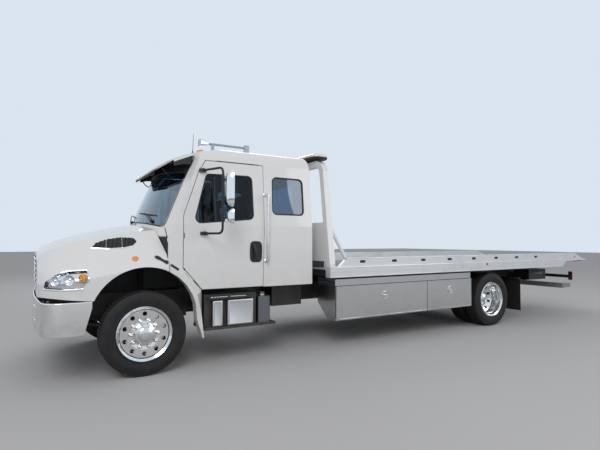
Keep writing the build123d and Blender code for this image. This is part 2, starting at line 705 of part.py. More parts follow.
# Driveline: engine and gearbox as one heavy block with the shaft to the rear axle, the radiator
# pack ahead of it, and the exhaust canister hung on the right rail
engine_rear_x = 3480
engine_front_x = 4560
engine_bottom_z = 640
engine_top_z = 1180
engine_half_width = 300
gearbox_rear_x = 2620
gearbox_half_width = 170
shaft_radius = 50
radiator_x = 4640
radiator_depth = 90
radiator_half_width = 350
radiator_top_z = 1290
exhaust_y = -530
exhaust_z = 470
exhaust_radius = 80
exhaust_front_x = 3180
exhaust_length = 950
pinion_x = rear_axle_x + 330
pinion_z = axle_z + 20
with BuildPart() as driveline:
    block(engine_rear_x, engine_front_x, -engine_half_width, engine_half_width,
          engine_bottom_z, engine_top_z)
    block(cowl_front_x + 20, engine_front_x - 60, -230, 230, engine_top_z, engine_top_z + 180)
    block(engine_rear_x + 120, engine_front_x - 160, -190, 190, engine_bottom_z - 140, engine_bottom_z)
    block(gearbox_rear_x, engine_rear_x, -gearbox_half_width, gearbox_half_width, 560, 815)
    rod((gearbox_rear_x + 10, 0, engine_bottom_z), (pinion_x + 3.5, 0, pinion_z), shaft_radius)
    for side, sign in sides:
        y_low, y_high = y_band(sign, engine_half_width, rail_outer_y - rail_plate)
        block(3900, 4000, y_low, y_high, 700, 780)
    block(radiator_x, radiator_x + radiator_depth, -radiator_half_width, radiator_half_width,
          rail_bottom_z + 60, radiator_top_z)
    for side, sign in sides:
        y_low, y_high = y_band(sign, radiator_half_width, rail_outer_y - rail_plate)
        block(radiator_x, radiator_x + radiator_depth, y_low, y_high,
              rail_bottom_z + 60, rail_bottom_z + 100)
    rod((exhaust_front_x - exhaust_length, exhaust_y, exhaust_z), (exhaust_front_x, exhaust_y, exhaust_z),
        exhaust_radius)
    for hanger_x in (2400, 3000):
        block(hanger_x - 20, hanger_x + 20, exhaust_y + 30, -rail_outer_y, exhaust_z + 90, exhaust_z + 150)
        block(hanger_x - 20, hanger_x + 20, exhaust_y - 30, exhaust_y + 50, exhaust_z + 60, exhaust_z + 110)
driveline.part.label = "driveline"
export_step(driveline.part, "parts/driveline.step")

# Axles with their leaf springs
spring_y = 396
rear_spring_y = 480
front_spring_span = 640
rear_spring_span = 610
spring_half_width = 38
spring_arch = 75
axle_tube_radius = 62
kingpin_radius = 22
brake_drum_radius = 190


def leaf_spring(centre_x, y, span, pad_z, sign):
    """A slightly arched pack of leaves with its two hangers on the frame."""
    y_low, y_high = y_band(sign, y - spring_half_width, y + spring_half_width)
    side_shape([(centre_x - span, pad_z + spring_arch), (centre_x - 110, pad_z), (centre_x + 110, pad_z),
                (centre_x + span, pad_z + spring_arch), (centre_x + span, pad_z + spring_arch + 20),
                (centre_x + 300, pad_z + 60), (centre_x - 300, pad_z + 60),
                (centre_x - span, pad_z + spring_arch + 20)], y_low, y_high)


with BuildPart() as front_axle:
    with BuildSketch(Plane.YZ.offset(front_axle_x - 35)) as beam:
        Polygon((-850, 500), (-700, 495), (-560, 425), (560, 425), (700, 495), (850, 500),
                (850, 412), (700, 405), (560, 335), (-560, 335), (-700, 405), (-850, 412), align=None)
    extrude(beam.sketch, amount=70)
    for side, sign in sides:
        rod((front_axle_x, sign * kingpin_y, 405), (front_axle_x, sign * kingpin_y, 505), 42)
        rod((front_axle_x, sign * kingpin_y, 400), (front_axle_x, sign * kingpin_y, 510),
            kingpin_radius + pin_fit, mode=Mode.SUBTRACT)
        leaf_spring(front_axle_x, spring_y, front_spring_span, 425, sign)
        y_low, y_high = y_band(sign, spring_y - 30, spring_y + 30)
        for hanger_x in (front_axle_x - front_spring_span, front_axle_x + front_spring_span):
            block(hanger_x - 28, hanger_x + 28, y_low, y_high, 500, rail_bottom_z)
front_axle.part.label = "front_axle"
export_step(front_axle.part, "parts/front_axle.step")

with BuildPart() as rear_axle:
    rod((rear_axle_x, -700, axle_z), (rear_axle_x, 700, axle_z), axle_tube_radius)
    rod((rear_axle_x, -(dual_mount_y + 40), axle_z), (rear_axle_x, dual_mount_y + 40, axle_z),
        rear_spindle_radius)
    with Locations((rear_axle_x, 0, axle_z)):
        Sphere(205)
    rod((rear_axle_x, 0, axle_z), (pinion_x, 0, pinion_z), 75)
    for side, sign in sides:
        leaf_spring(rear_axle_x, rear_spring_y, rear_spring_span, axle_z + 45, sign)
        y_low, y_high = y_band(sign, rail_outer_y, rear_spring_y + spring_half_width)
        for hanger_x in (rear_axle_x - rear_spring_span, rear_axle_x + rear_spring_span):
            block(hanger_x - 30, hanger_x + 30, y_low, y_high, 575, 690)
rear_axle.part.label = "rear_axle"
export_step(rear_axle.part, "parts/rear_axle.step")

# Steering knuckles: a fork round the beam's end, the kingpin, the brake drum and the spindle
for side, sign in sides:
    with BuildPart() as knuckle:
        rod((front_axle_x, sign * kingpin_y, 340), (front_axle_x, sign * kingpin_y, 570), kingpin_radius)
        for z_low, z_high in ((345, 400), (510, 565)):
            y_low, y_high = y_band(sign, kingpin_y - 45, kingpin_y + 75)
            block(front_axle_x - 42, front_axle_x + 42, y_low, y_high, z_low, z_high)
        y_low, y_high = y_band(sign, kingpin_y + 52, kingpin_y + 75)
        block(front_axle_x - 42, front_axle_x + 42, y_low, y_high, 345, 565)
        rod((front_axle_x, sign * (kingpin_y + 52), axle_z), (front_axle_x, sign * 1120, axle_z),
            spindle_radius)
        rod((front_axle_x, sign * (kingpin_y + 60), axle_z), (front_axle_x, sign * 1000, axle_z),
            brake_drum_radius)
    knuckle.part.label = f"knuckle_{side}"
    export_step(knuckle.part, f"parts/knuckle_{side}.step")

# Tyre section, as (radius, distance outwards from the tyre's middle)
tread = tyre_width / 2
tyre_section = [(bead_radius, -tread + 27), (bead_radius + 40, -tread + 8), (bead_radius + 90, -tread),
                (tyre_radius - 28, -tread + 12), (tyre_radius, -tread + 32),
                (tyre_radius, tread - 32), (tyre_radius - 28, tread - 12), (bead_radius + 90, tread),
                (bead_radius + 40, tread - 8), (bead_radius, tread - 27)]
rim_edge = bead_radius + 11
rim_half = tread - 27 - pin_fit
rim_section = [(bead_radius - pin_fit, -rim_half), (rim_edge, -rim_half - 12),
               (rim_edge - 8, -rim_half - 20),
               (bead_radius - 22, -rim_half), (bead_radius - 34, -40), (bead_radius - 34, 40),
               (bead_radius - 22, rim_half), (rim_edge - 8, rim_half + 20), (rim_edge, rim_half + 12),
               (bead_radius - pin_fit, rim_half)]


def placed(section, middle_y, sign):
    """Section points moved out to a wheel's place on one side of the truck."""
    return [(radius, sign * (middle_y + out)) for radius, out in section]


# Front wheels: a polished disc near the outer face, with round hand holes and a domed hub
for side, sign in sides:
    centre = (front_axle_x, 0, axle_z)
    with BuildPart() as front_tyre:
        turned(placed(tyre_section, front_tyre_y, sign), centre)
    front_tyre.part.label = f"front_tyre_{side}"
    export_step(front_tyre.part, f"parts/front_tyre_{side}.step")
    with BuildPart() as front_wheel:
        turned(placed(rim_section, front_tyre_y, sign), centre)
        turned([(spindle_radius + pin_fit, sign * 1008), (150, sign * 1030), (150, sign * 1060),
                (bead_radius - 28, sign * 1093), (bead_radius - 30, sign * 1115), (170, sign * 1110),
                (135, sign * 1102), (110, sign * 1108), (104, sign * 1150), (70, sign * 1163),
                (0, sign * 1166), (0, sign * 1121), (spindle_radius + pin_fit, sign * 1121)], centre)
        with BuildSketch(Plane.XZ.offset(-sign * 1030)) as holes:
            with Locations((front_axle_x, axle_z)):
                with PolarLocations(hand_hole_circle, hand_holes, start_angle=18):
                    Circle(hand_hole_radius)
        extrude(holes.sketch, amount=-sign * 120, mode=Mode.SUBTRACT)
    front_wheel.part.label = f"front_wheel_{side}"
    export_step(front_wheel.part, f"parts/front_wheel_{side}.step")

# Rear wheels: two discs bolted back to back, the outer one a deep dish, round one hub
for side, sign in sides:
    centre = (rear_axle_x, 0, axle_z)
    with BuildPart() as rear_tyres:
        turned(placed(tyre_section, dual_mount_y + dual_offset, sign), centre)
        turned(placed(tyre_section, dual_mount_y - dual_offset, sign), centre)
    rear_tyres.part.label = f"rear_tyres_{side}"
    export_step(rear_tyres.part, f"parts/rear_tyres_{side}.step")
    with BuildPart() as rear_wheels:
        turned(placed(rim_section, dual_mount_y + dual_offset, sign), centre)
        turned(placed(rim_section, dual_mount_y - dual_offset, sign), centre)
        disc = [(rear_spindle_radius + pin_fit, -wheel_disc), (170, -wheel_disc), (200, -wheel_disc - 25),
                (bead_radius - 24, -90), (bead_radius - 24, -62), (205, -5), (170, 0), (205, 5),
                (bead_radius - 24, 62), (bead_radius - 24, 90), (200, wheel_disc + 25), (170, wheel_disc),
                (140, wheel_disc), (118, wheel_disc + 8), (112, 110), (80, 135), (0, 140), (0, 40 + pin_fit),
                (rear_spindle_radius + pin_fit, 40 + pin_fit)]
        turned(placed(disc, dual_mount_y, sign), centre)
        with BuildSketch(Plane.XZ.offset(-sign * (dual_mount_y - 100))) as holes:
            with Locations((rear_axle_x, axle_z)):
                with PolarLocations(hand_hole_circle + 2, hand_holes, start_angle=18):
                    Circle(hand_hole_radius)
        extrude(holes.sketch, amount=-sign * 200, mode=Mode.SUBTRACT)
    rear_wheels.part.label = f"rear_wheels_{side}"
    export_step(rear_wheels.part, f"parts/rear_wheels_{side}.step")

# Dashboard with the steering wheel, and the two seats and rear bench
dash_front_x = 3640
dash_half_width = 960
dash_end_y = 1020
driver_y = 480
steering_wheel_radius = 225
steering_rim = 27
steering_spoke = 40
column_radius = 22
with BuildPart() as dashboard:
    side_shape([(dash_front_x, 1310), (dash_front_x, 1560), (dash_front_x - 80, 1600),
                (dash_front_x - 300, 1590), (dash_front_x - 340, 1530), (dash_front_x - 310, 1360),
                (dash_front_x - 220, 1310)], -dash_half_width, dash_half_width, rounding=20)
    block(dash_front_x - 90, dash_front_x, -dash_end_y, dash_end_y, 1330, 1540)
    add(cab_inner, mode=Mode.INTERSECT)
    rod((dash_front_x - 290, driver_y, 1474), (dash_front_x - 455, driver_y, 1525), column_radius)
    with BuildSketch(Plane(origin=(dash_front_x - 445, driver_y, 1522), z_dir=(-130, 0, 40))) as wheel_plane:
        Circle(steering_wheel_radius)
        Circle(steering_wheel_radius - steering_rim, mode=Mode.SUBTRACT)
        Rectangle(steering_spoke, 2 * steering_wheel_radius - steering_spoke)
        Rectangle(2 * steering_wheel_radius - steering_spoke, steering_spoke)
    extrude(wheel_plane.sketch, amount=24)
dashboard.part.label = "dashboard"
export_step(dashboard.part, "parts/dashboard.step")

seat_rear_x = 2560
seat_length = 500
seat_width = 500
seat_bottom_z = 1260
seat_thickness = 150
backrest_top_z = 2080
bench_rear_x = 1880
bench_depth = 420
bench_half_width = 900
bench_top_z = 1330
seat_top_z = seat_bottom_z + seat_thickness
with BuildPart() as seats:
    for seat_y in (driver_y, -driver_y):
        block(seat_rear_x, seat_rear_x + seat_length, seat_y - seat_width / 2, seat_y + seat_width / 2,
              seat_bottom_z, seat_top_z)
        side_shape([(seat_rear_x, seat_top_z), (seat_rear_x + 140, seat_top_z),
                    (seat_rear_x + 20, backrest_top_z), (seat_rear_x - 100, backrest_top_z)],
                   seat_y - seat_width / 2 + 10, seat_y + seat_width / 2 - 10)
        block(seat_rear_x + 40, seat_rear_x + seat_length - 60, seat_y - 200, seat_y + 200,
              floor_top_z, seat_bottom_z)
    block(bench_rear_x, bench_rear_x + bench_depth, -bench_half_width, bench_half_width, floor_top_z,
          bench_top_z)
seats.part.label = "seats"
export_step(seats.part, "parts/seats.step")

# External sun visor over the windshield
visor_tip_x = 3805
visor_tip_z = 2255
visor_half_width = 920
visor_bow_radius = 2300
visor_wall = 15
with BuildPart() as sun_visor:
    side_shape([(3375, 2520), (3500, 2474), (3640, 2416), (3735, 2352), (visor_tip_x - 10, 2296),
                (visor_tip_x, visor_tip_z), (3760, visor_tip_z + 10), (3640, 2330), (3500, 2368),
                (3405, 2374)], -visor_half_width, visor_half_width)
    side_shape([(3370, 2498), (3496, 2456), (3630, 2399), (3722, 2338), (3778, 2288), (3788, 2240),
                (3700, 2200), (3380, 2200)], visor_wall - visor_half_width, visor_half_width - visor_wall,
               mode=Mode.SUBTRACT)
    with BuildSketch(Plane.XY.offset(2000)) as visor_plan:
        with Locations((visor_tip_x - visor_bow_radius, 0)):
            Circle(visor_bow_radius)
        with Locations(((visor_tip_x + 2500) / 2, 0)):
            Rectangle(visor_tip_x - 2500, 2 * visor_half_width, mode=Mode.INTERSECT)
        fillet(visor_plan.vertices().group_by(Axis.X)[-1], 90)
    extrude(visor_plan.sketch, amount=700, mode=Mode.INTERSECT)
    add(cab_outer, mode=Mode.SUBTRACT)
sun_visor.part.label = "sun_visor"
export_step(sun_visor.part, "parts/sun_visor.step")

# Air horn on the roof
horn_y = 500
horn_z = 2740
horn_mouth_x = 3160
horn_bell_length = 120
horn_tube_length = 575
horn_tube_radius = 17
with BuildPart() as air_horn:
    with BuildSketch(Plane.YZ.offset(horn_mouth_x)) as bell:
        with Locations((horn_y, horn_z)):
            RectangleRounded(120, 90, 18)
    with BuildSketch(Plane.YZ.offset(horn_mouth_x - horn_bell_length)) as throat:
        with Locations((horn_y, horn_z)):
            RectangleRounded(44, 44, 10)
    loft([bell.sketch.face(), throat.sketch.face()], ruled=True)
    tube_front_x = horn_mouth_x - horn_bell_length + 5
    rod((tube_front_x, horn_y, horn_z), (tube_front_x - horn_tube_length, horn_y, horn_z), horn_tube_radius)
    block(horn_mouth_x - 700, horn_mouth_x - 640, horn_y - 30, horn_y + 30, horn_z - 100, horn_z + 35)
    block(horn_mouth_x - 200, horn_mouth_x - 160, horn_y - 15, horn_y + 15, horn_z - 150, horn_z)
    add(cab_outer, mode=Mode.SUBTRACT)
air_horn.part.label = "air_horn"
export_step(air_horn.part, "parts/air_horn.step")

# Mirrors on the doors: a bracketed tube loop that carries a tall head over a small convex one
mirror_y = 1350
mirror_tube_x = 3165
mirror_tube_radius = 14
mirror_foot_x = 3280
mirror_head_x = 3115
mirror_head_depth = 110
mirror_head_width = 210
mirror_low_foot_z = 1545
mirror_high_foot_z = 2300
with BuildPart() as mirror_arm:
    for z, root_y in ((mirror_low_foot_z, cab_half_width - 2), (mirror_high_foot_z, 984)):
        block(mirror_foot_x - 45, mirror_foot_x + 45, root_y, root_y + 45, z - 20, z + 20)
        rod((mirror_foot_x, root_y + 25, z), (mirror_tube_x, mirror_y, z), mirror_tube_radius)
    rod((mirror_tube_x, mirror_y, mirror_low_foot_z - mirror_tube_radius),
        (mirror_tube_x, mirror_y, mirror_high_foot_z + mirror_tube_radius), mirror_tube_radius)
    add(cab_outer, mode=Mode.SUBTRACT)
with BuildPart() as mirror_set:
    add(mirror_arm.part)
    for z_low, z_high in ((1645, 1835), (1848, 2267)):
        with BuildSketch(Plane.XY.offset(z_low)) as head:
            with Locations((mirror_head_x, mirror_y)):
                RectangleRounded(mirror_head_depth, mirror_head_width, 40)
        extrude(head.sketch, amount=z_high - z_low)
for side, sign in sides:
    with BuildPart() as door_mirror:
        add(mirror_set.part if sign > 0 else mirror_set.part.mirror(Plane.XZ))
    door_mirror.part.label = f"mirror_{side}"
    export_step(door_mirror.part, f"parts/mirror_{side}.step")

# Grab rails behind the doors, each on two feet
rail_x = 2455
rail_y = 1098
rail_radius = 16
rail_foot = 26
rail_low_z = 1205
rail_high_z = 2050
with BuildPart() as grab_rails:
    for side, sign in sides:
        for z, root_y in ((rail_low_z, cab_half_width), (rail_high_z, 1009)):
            y_low, y_high = y_band(sign, root_y, rail_y - 13)
            block(rail_x - rail_foot / 2, rail_x + rail_foot / 2, y_low, y_high, z - rail_foot / 2,
                  z + rail_foot / 2)
        rod((rail_x, sign * rail_y, rail_low_z - rail_foot / 2),
            (rail_x, sign * rail_y, rail_high_z + rail_foot / 2), rail_radius)
    add(cab_outer, mode=Mode.SUBTRACT)
grab_rails.part.label = "grab_rails"
export_step(grab_rails.part, "parts/grab_rails.step")

# Step and battery box under the left door, and the black box on each rail aft of the cab steps
step_inner_y = 700
step_face_y = 1060
step_tread_y = 1120
step_bottom_z = 415
step_top_z = 820
step_front_x = 3280
step_rear_x = 2350
step_plate = 30
rail_box_rear_x = 1715
rail_box_front_x = 2185
with BuildPart() as step_box:
    block(2600, step_front_x - 10, step_inner_y, step_face_y, step_bottom_z + 15, step_top_z)
    block(step_rear_x, step_front_x, step_inner_y, step_tread_y, step_bottom_z, step_bottom_z + step_plate)
    block(2700, 3240, step_inner_y, step_tread_y - 5, 770, 790)
    for x_low, x_high in ((3060, 3180), (2660, 2992)):
        block(x_low, x_high, step_face_y, step_face_y + 40, 451, 750)
    for bracket_x in (2820, 3120):
        block(bracket_x, bracket_x + 80, rail_outer_y, step_inner_y, 640, 720)
    for side, sign in sides:
        y_low, y_high = y_band(sign, rail_outer_y, step_inner_y)
        block(rail_box_rear_x, rail_box_front_x, y_low, y_high, 570, 846)
step_box.part.label = "step_box"
export_step(step_box.part, "parts/step_box.step")

# Tanks: the small fluid tank behind the step and the strapped fuel tank under the right door
fluid_tank_x = 2493
fluid_tank_y = 910
fluid_tank_height = 320
fuel_tank_rear_x = 2330
fuel_tank_length = 930
fuel_tank_y = -850
fuel_tank_z = 620
fuel_tank_width = 440
fuel_tank_height = 400
fuel_tank_corner = 130
strap_width = 50
strap_thickness = 8
with BuildPart() as tanks:
    with BuildSketch(Plane.XY.offset(step_bottom_z + step_plate)) as tank_plan:
        with Locations((fluid_tank_x, fluid_tank_y)):
            RectangleRounded(180, 360, 40)
    extrude(tank_plan.sketch, amount=fluid_tank_height)
    rod((fluid_tank_x, 1000, 760), (fluid_tank_x, 1000, 815), 38)
    block(fluid_tank_x - 33, fluid_tank_x + 37, rail_outer_y, 740, 640, 700)
    with BuildSketch(Plane.YZ.offset(fuel_tank_rear_x)) as tank_end:
        with Locations((fuel_tank_y, fuel_tank_z)):
            RectangleRounded(fuel_tank_width, fuel_tank_height, fuel_tank_corner)
    extrude(tank_end.sketch, amount=fuel_tank_length)
    for strap_x in (2560, 3040):
        with BuildSketch(Plane.YZ.offset(strap_x)) as strap:
            with Locations((fuel_tank_y, fuel_tank_z)):
                RectangleRounded(fuel_tank_width + 2 * strap_thickness,
                                 fuel_tank_height + 2 * strap_thickness,
                                 fuel_tank_corner + strap_thickness)
        extrude(strap.sketch, amount=strap_width)
        block(strap_x, strap_x + strap_width, -700, -rail_outer_y, 600, 680)
    block(2600, 3040, -1120, -1060, 560, 580)
    rod((2420, -940, 800), (2420, -940, 850), 45)
tanks.part.label = "tanks"
export_step(tanks.part, "parts/tanks.step")

# Toolboxes below the bed: a box with a chamfered inner edge, open outwards in two bays
toolbox_chamfer_y = 180
toolbox_chamfer_z = 205
for side, sign in sides:
    with BuildPart() as toolbox:
        outer_y = toolbox_outer_y - toolbox_door - seat_gap
        cross_shape([(sign * y, z) for y, z in (
            (outer_y, toolbox_bottom_z), (outer_y - toolbox_chamfer_y, toolbox_bottom_z),
            (toolbox_inner_y, toolbox_bottom_z + toolbox_chamfer_z), (toolbox_inner_y, toolbox_top_z),
            (outer_y, toolbox_top_z))], toolbox_rear_x, toolbox_front_x)
        y_low, y_high = y_band(sign, outer_y, toolbox_outer_y - 20)
        block(toolbox_rear_x, toolbox_front_x, y_low, y_high, toolbox_door_top_z + 6, toolbox_top_z)
        y_low, y_high = y_band(sign, outer_y - 5, toolbox_outer_y)
        block(toolbox_rear_x, toolbox_front_x, y_low, y_high, toolbox_bottom_z, toolbox_bottom_z + 8)
        for x_low, x_high in ((toolbox_rear_x, toolbox_split_x), (toolbox_split_x, toolbox_front_x)):
            wall = toolbox_wall
            cross_shape([(sign * y, z) for y, z in (
                (outer_y + 100, toolbox_bottom_z + wall),
                (outer_y - toolbox_chamfer_y + 8, toolbox_bottom_z + wall),
                (toolbox_inner_y + wall, toolbox_bottom_z + toolbox_chamfer_z + 8),
                (toolbox_inner_y + wall, toolbox_door_top_z - 14),
                (outer_y + 100, toolbox_door_top_z - 14))], x_low + wall, x_high - wall,
                mode=Mode.SUBTRACT)
        for bracket_x in (1250, 300, toolbox_rear_x + 130):
            y_low, y_high = y_band(sign, rail_outer_y, toolbox_inner_y)
            block(bracket_x - 30, bracket_x + 30, y_low, y_high, 610, 670)
    toolbox.part.label = f"toolbox_{side}"
    export_step(toolbox.part, f"parts/toolbox_{side}.step")
    for bay, x_low, x_high in (("front", toolbox_split_x, toolbox_front_x),
                               ("rear", toolbox_rear_x, toolbox_split_x)):
        with BuildPart() as bay_door:
            y_low, y_high = y_band(sign, toolbox_outer_y - toolbox_door, toolbox_outer_y)
            block(x_low + 5, x_high - 5, y_low, y_high, toolbox_bottom_z + 13, toolbox_door_top_z)
        bay_door.part.label = f"toolbox_door_{side}_{bay}"
        export_step(bay_door.part, f"parts/toolbox_door_{side}_{bay}.step")

# Mudflaps behind the rear tyres, each on an arm from the frame
flap_x = rear_axle_x - tyre_radius - 350
flap_thickness = 8
flap_outer_y = 1215
flap_bottom_z = 200
flap_top_z = 800
flap_arm = 35
with BuildPart() as mud_flaps:
    for side, sign in sides:
        y_low, y_high = y_band(sign, 620, flap_outer_y)
        block(flap_x - flap_thickness, flap_x, y_low, y_high, flap_bottom_z, flap_top_z)
        y_low, y_high = y_band(sign, rail_outer_y, flap_outer_y)
        block(flap_x, flap_x + flap_arm, y_low, y_high, flap_top_z - flap_arm, flap_top_z)
mud_flaps.part.label = "mud_flaps"
export_step(mud_flaps.part, "parts/mud_flaps.step")

# Rear cross body with the control boxes and the bar for the tail lamps
control_rear_x = -4065
control_front_x = -3485
control_inner_y = 560
control_outer_y = 900
control_bottom_z = 700
control_top_z = 905
lamp_bar_x = -4500
lamp_bar_half_width = 1160
with BuildPart() as rear_body:
    for side, sign in sides:
        y_low, y_high = y_band(sign, cheek_y, control_outer_y)
        block(control_rear_x, control_front_x, y_low, y_high, control_bottom_z, control_bottom_z + 60)
        y_low, y_high = y_band(sign, control_inner_y, control_outer_y)
        block(control_rear_x, control_front_x, y_low, y_high, control_bottom_z + 60, control_top_z)
        y_low, y_high = y_band(sign, cheek_y + 6, lamp_bar_half_width)
        block(lamp_bar_x - 20, lamp_bar_x + 20, y_low, y_high, control_bottom_z + 20, control_bottom_z + 80)
        y_low, y_high = y_band(sign, control_inner_y, control_inner_y + 80)
        block(lamp_bar_x + 20, control_rear_x, y_low, y_high, control_bottom_z + 20, control_bottom_z + 60)
rear_body.part.label = "rear_body"
export_step(rear_body.part, "parts/rear_body.step")

# Lamps: ambers along the roof's front edge, red tail lamps on the bar
roof_lamp_x = 3245
roof_lamp_length = 90
roof_lamp_width = 56
tail_lamp_height = 178
tail_lamp_width = 80
with BuildPart() as roof_lamps:
    for lamp_y, lamp_z in ((-760, 2560), (-250, 2590), (0, 2590), (250, 2590), (760, 2560)):
        block(roof_lamp_x - roof_lamp_length / 2, roof_lamp_x + roof_lamp_length / 2,
              lamp_y - roof_lamp_width / 2, lamp_y + roof_lamp_width / 2, lamp_z - 80, lamp_z + 40)
    add(cab_outer, mode=Mode.SUBTRACT)
with BuildPart() as lamps:
    add(roof_lamps.part)
    for side, sign in sides:
        y_low, y_high = y_band(sign, lamp_bar_half_width - 50, lamp_bar_half_width - 50 + tail_lamp_width)
        block(lamp_bar_x - 60, lamp_bar_x - 20, y_low, y_high, 672, 672 + tail_lamp_height)
lamps.part.label = "lamps"
export_step(lamps.part, "parts/lamps.step")

# Subframe: two rails hinged at the rear, low crossmembers, slide pads, ears for the tilt
# cylinders, and the long slide cylinder's barrel along the middle
subframe_front_x = bed_front_x - 180
slide_barrel_z = subframe_top_z - 33
slide_eye_x = -2350
slide_rod_radius = 25
with BuildPart() as subframe:
    for side, sign in sides:
        y_low, y_high = y_band(sign, subframe_inner_y, subframe_outer_y)
        block(pivot_x, subframe_front_x, y_low, y_high, subframe_bottom_z, subframe_top_z)
        rod((pivot_x, sign * subframe_inner_y, pivot_z), (pivot_x, sign * subframe_outer_y, pivot_z), 30)
        rod((pivot_x, sign * subframe_outer_y, pivot_z), (pivot_x, sign * (rail_outer_y + 30), pivot_z),
            tilt_pin_radius - pin_fit)
        for pad_x in (subframe_front_x - 200, subframe_front_x - 1900, -2300, pivot_x + 200):
            block(pad_x - 100, pad_x + 100, y_low + 10, y_high - 10, subframe_top_z,
                  subframe_top_z + pad_height)
        y_low, y_high = y_band(sign, subframe_outer_y, tilt_cylinder_y - 42)
        side_shape([(tilt_eye_x - 70, subframe_bottom_z + 5), (tilt_eye_x + 70, subframe_bottom_z + 5),
                    (tilt_eye_x + 45, tilt_eye_z + 40), (tilt_eye_x - 45, tilt_eye_z + 40)],
                   y_low, y_high)
    for member_x in (subframe_front_x - 60, 600, -300, -1200, -2100, -3000, -3700, pivot_x + 60):
        block(member_x - 40, member_x + 40, -subframe_inner_y, subframe_inner_y, subframe_bottom_z,
              subframe_bottom_z + 18)
    rod((subframe_front_x - 60, 0, slide_barrel_z), (slide_eye_x + 70, 0, slide_barrel_z), 42)
    rod((subframe_front_x - 120, 0, slide_barrel_z), (slide_eye_x + 60, 0, slide_barrel_z),
        slide_rod_radius + pin_fit,
        mode=Mode.SUBTRACT)
    block(subframe_front_x - 100, subframe_front_x - 20, -30, 30, subframe_bottom_z + 18, slide_barrel_z)
subframe.part.label = "subframe"
export_step(subframe.part, "parts/subframe.step")

# Tilt cylinders, one each side of the frame: barrels on the frame's pins, rods to the subframe
tilt_run = Vector(tilt_eye_x - tilt_base_x, 0, tilt_eye_z - tilt_base_z)
tilt_dir = tilt_run.normalized()
tilt_barrel_length = tilt_run.length - 130


def along_tilt(distance, sign):
    """Point on a tilt cylinder's axis at a distance from its base pin."""
    spot = Vector(tilt_base_x, sign * tilt_cylinder_y, tilt_base_z) + tilt_dir * distance
    return (spot.X, spot.Y, spot.Z)


with BuildPart() as tilt_barrels:
    for side, sign in sides:
        rod(along_tilt(0, sign), along_tilt(120, sign), 28)
        rod(along_tilt(105, sign), along_tilt(tilt_barrel_length, sign), tilt_barrel_radius)
        y_low, y_high = y_band(sign, tilt_cylinder_y - 30, tilt_cylinder_y + 30)
        rod((tilt_base_x, y_low, tilt_base_z), (tilt_base_x, y_high, tilt_base_z), 40)
        rod((tilt_base_x, y_low - 20, tilt_base_z), (tilt_base_x, y_high + 20, tilt_base_z),
            tilt_base_pin + pin_fit, mode=Mode.SUBTRACT)
        rod(along_tilt(150, sign), along_tilt(tilt_barrel_length + 1, sign), tilt_rod_radius + pin_fit,
            mode=Mode.SUBTRACT)
tilt_barrels.part.label = "tilt_barrels"
export_step(tilt_barrels.part, "parts/tilt_barrels.step")
with BuildPart() as tilt_rods:
    for side, sign in sides:
        rod(along_tilt(tilt_barrel_length - 900, sign), along_tilt(tilt_run.length, sign), tilt_rod_radius)
        rod((tilt_eye_x, sign * (tilt_cylinder_y - 41), tilt_eye_z),
            (tilt_eye_x, sign * (tilt_cylinder_y + 35), tilt_eye_z), 38)
tilt_rods.part.label = "tilt_rods"
export_step(tilt_rods.part, "parts/tilt_rods.step")

# Bed frame: two sills on the slide pads, crossmembers, the front pan under the winch, and the
# deck plate as its own piece behind that pan
deck_front_x = bed_front_x - deck_pan_length
sill_bottom_z = slide_z
deck_bottom_z = deck_top_z - deck_plate
tail_front_x = bed_tail_x + tail_length
side_rail_inner_y = bed_half_width - rail_step - 60
with BuildPart() as bed_frame:
    for side, sign in sides:
        y_low, y_high = y_band(sign, subframe_inner_y + 10, subframe_outer_y - 10)
        block(bed_tail_x + 340, bed_front_x - 40, y_low, y_high, sill_bottom_z, deck_bottom_z)
    count = int((bed_length - tail_length) / crossmember_pitch)
    for row in range(count + 1):
        member_x = bed_front_x - 100 - row * crossmember_pitch
        block(member_x - 35, member_x + 35, -side_rail_inner_y, side_rail_inner_y, 972, deck_bottom_z)
    block(deck_front_x + deck_seam, bed_front_x - 20, -side_rail_inner_y, side_rail_inner_y,
          deck_bottom_z, deck_top_z)
bed_frame.part.label = "bed_frame"
export_step(bed_frame.part, "parts/bed_frame.step")
slide_member_x = bed_front_x - 100 - 6 * crossmember_pitch
with BuildPart() as slide_rod:
    block(slide_eye_x + 10, slide_eye_x + 50, -45, 45, 890, 972)
    block(slide_eye_x + 10, slide_member_x + 35, -45, 45, 962, 972)
    rod((slide_eye_x + 45, 0, slide_barrel_z), (subframe_front_x - 130, 0, slide_barrel_z), slide_rod_radius)
slide_rod.part.label = "slide_rod"
export_step(slide_rod.part, "parts/slide_rod.step")
with BuildPart() as bed_deck:
    block(bed_tail_x, deck_front_x, -side_rail_inner_y, side_rail_inner_y, deck_bottom_z, deck_top_z)
bed_deck.part.label = "bed_deck"
export_step(bed_deck.part, "parts/bed_deck.step")

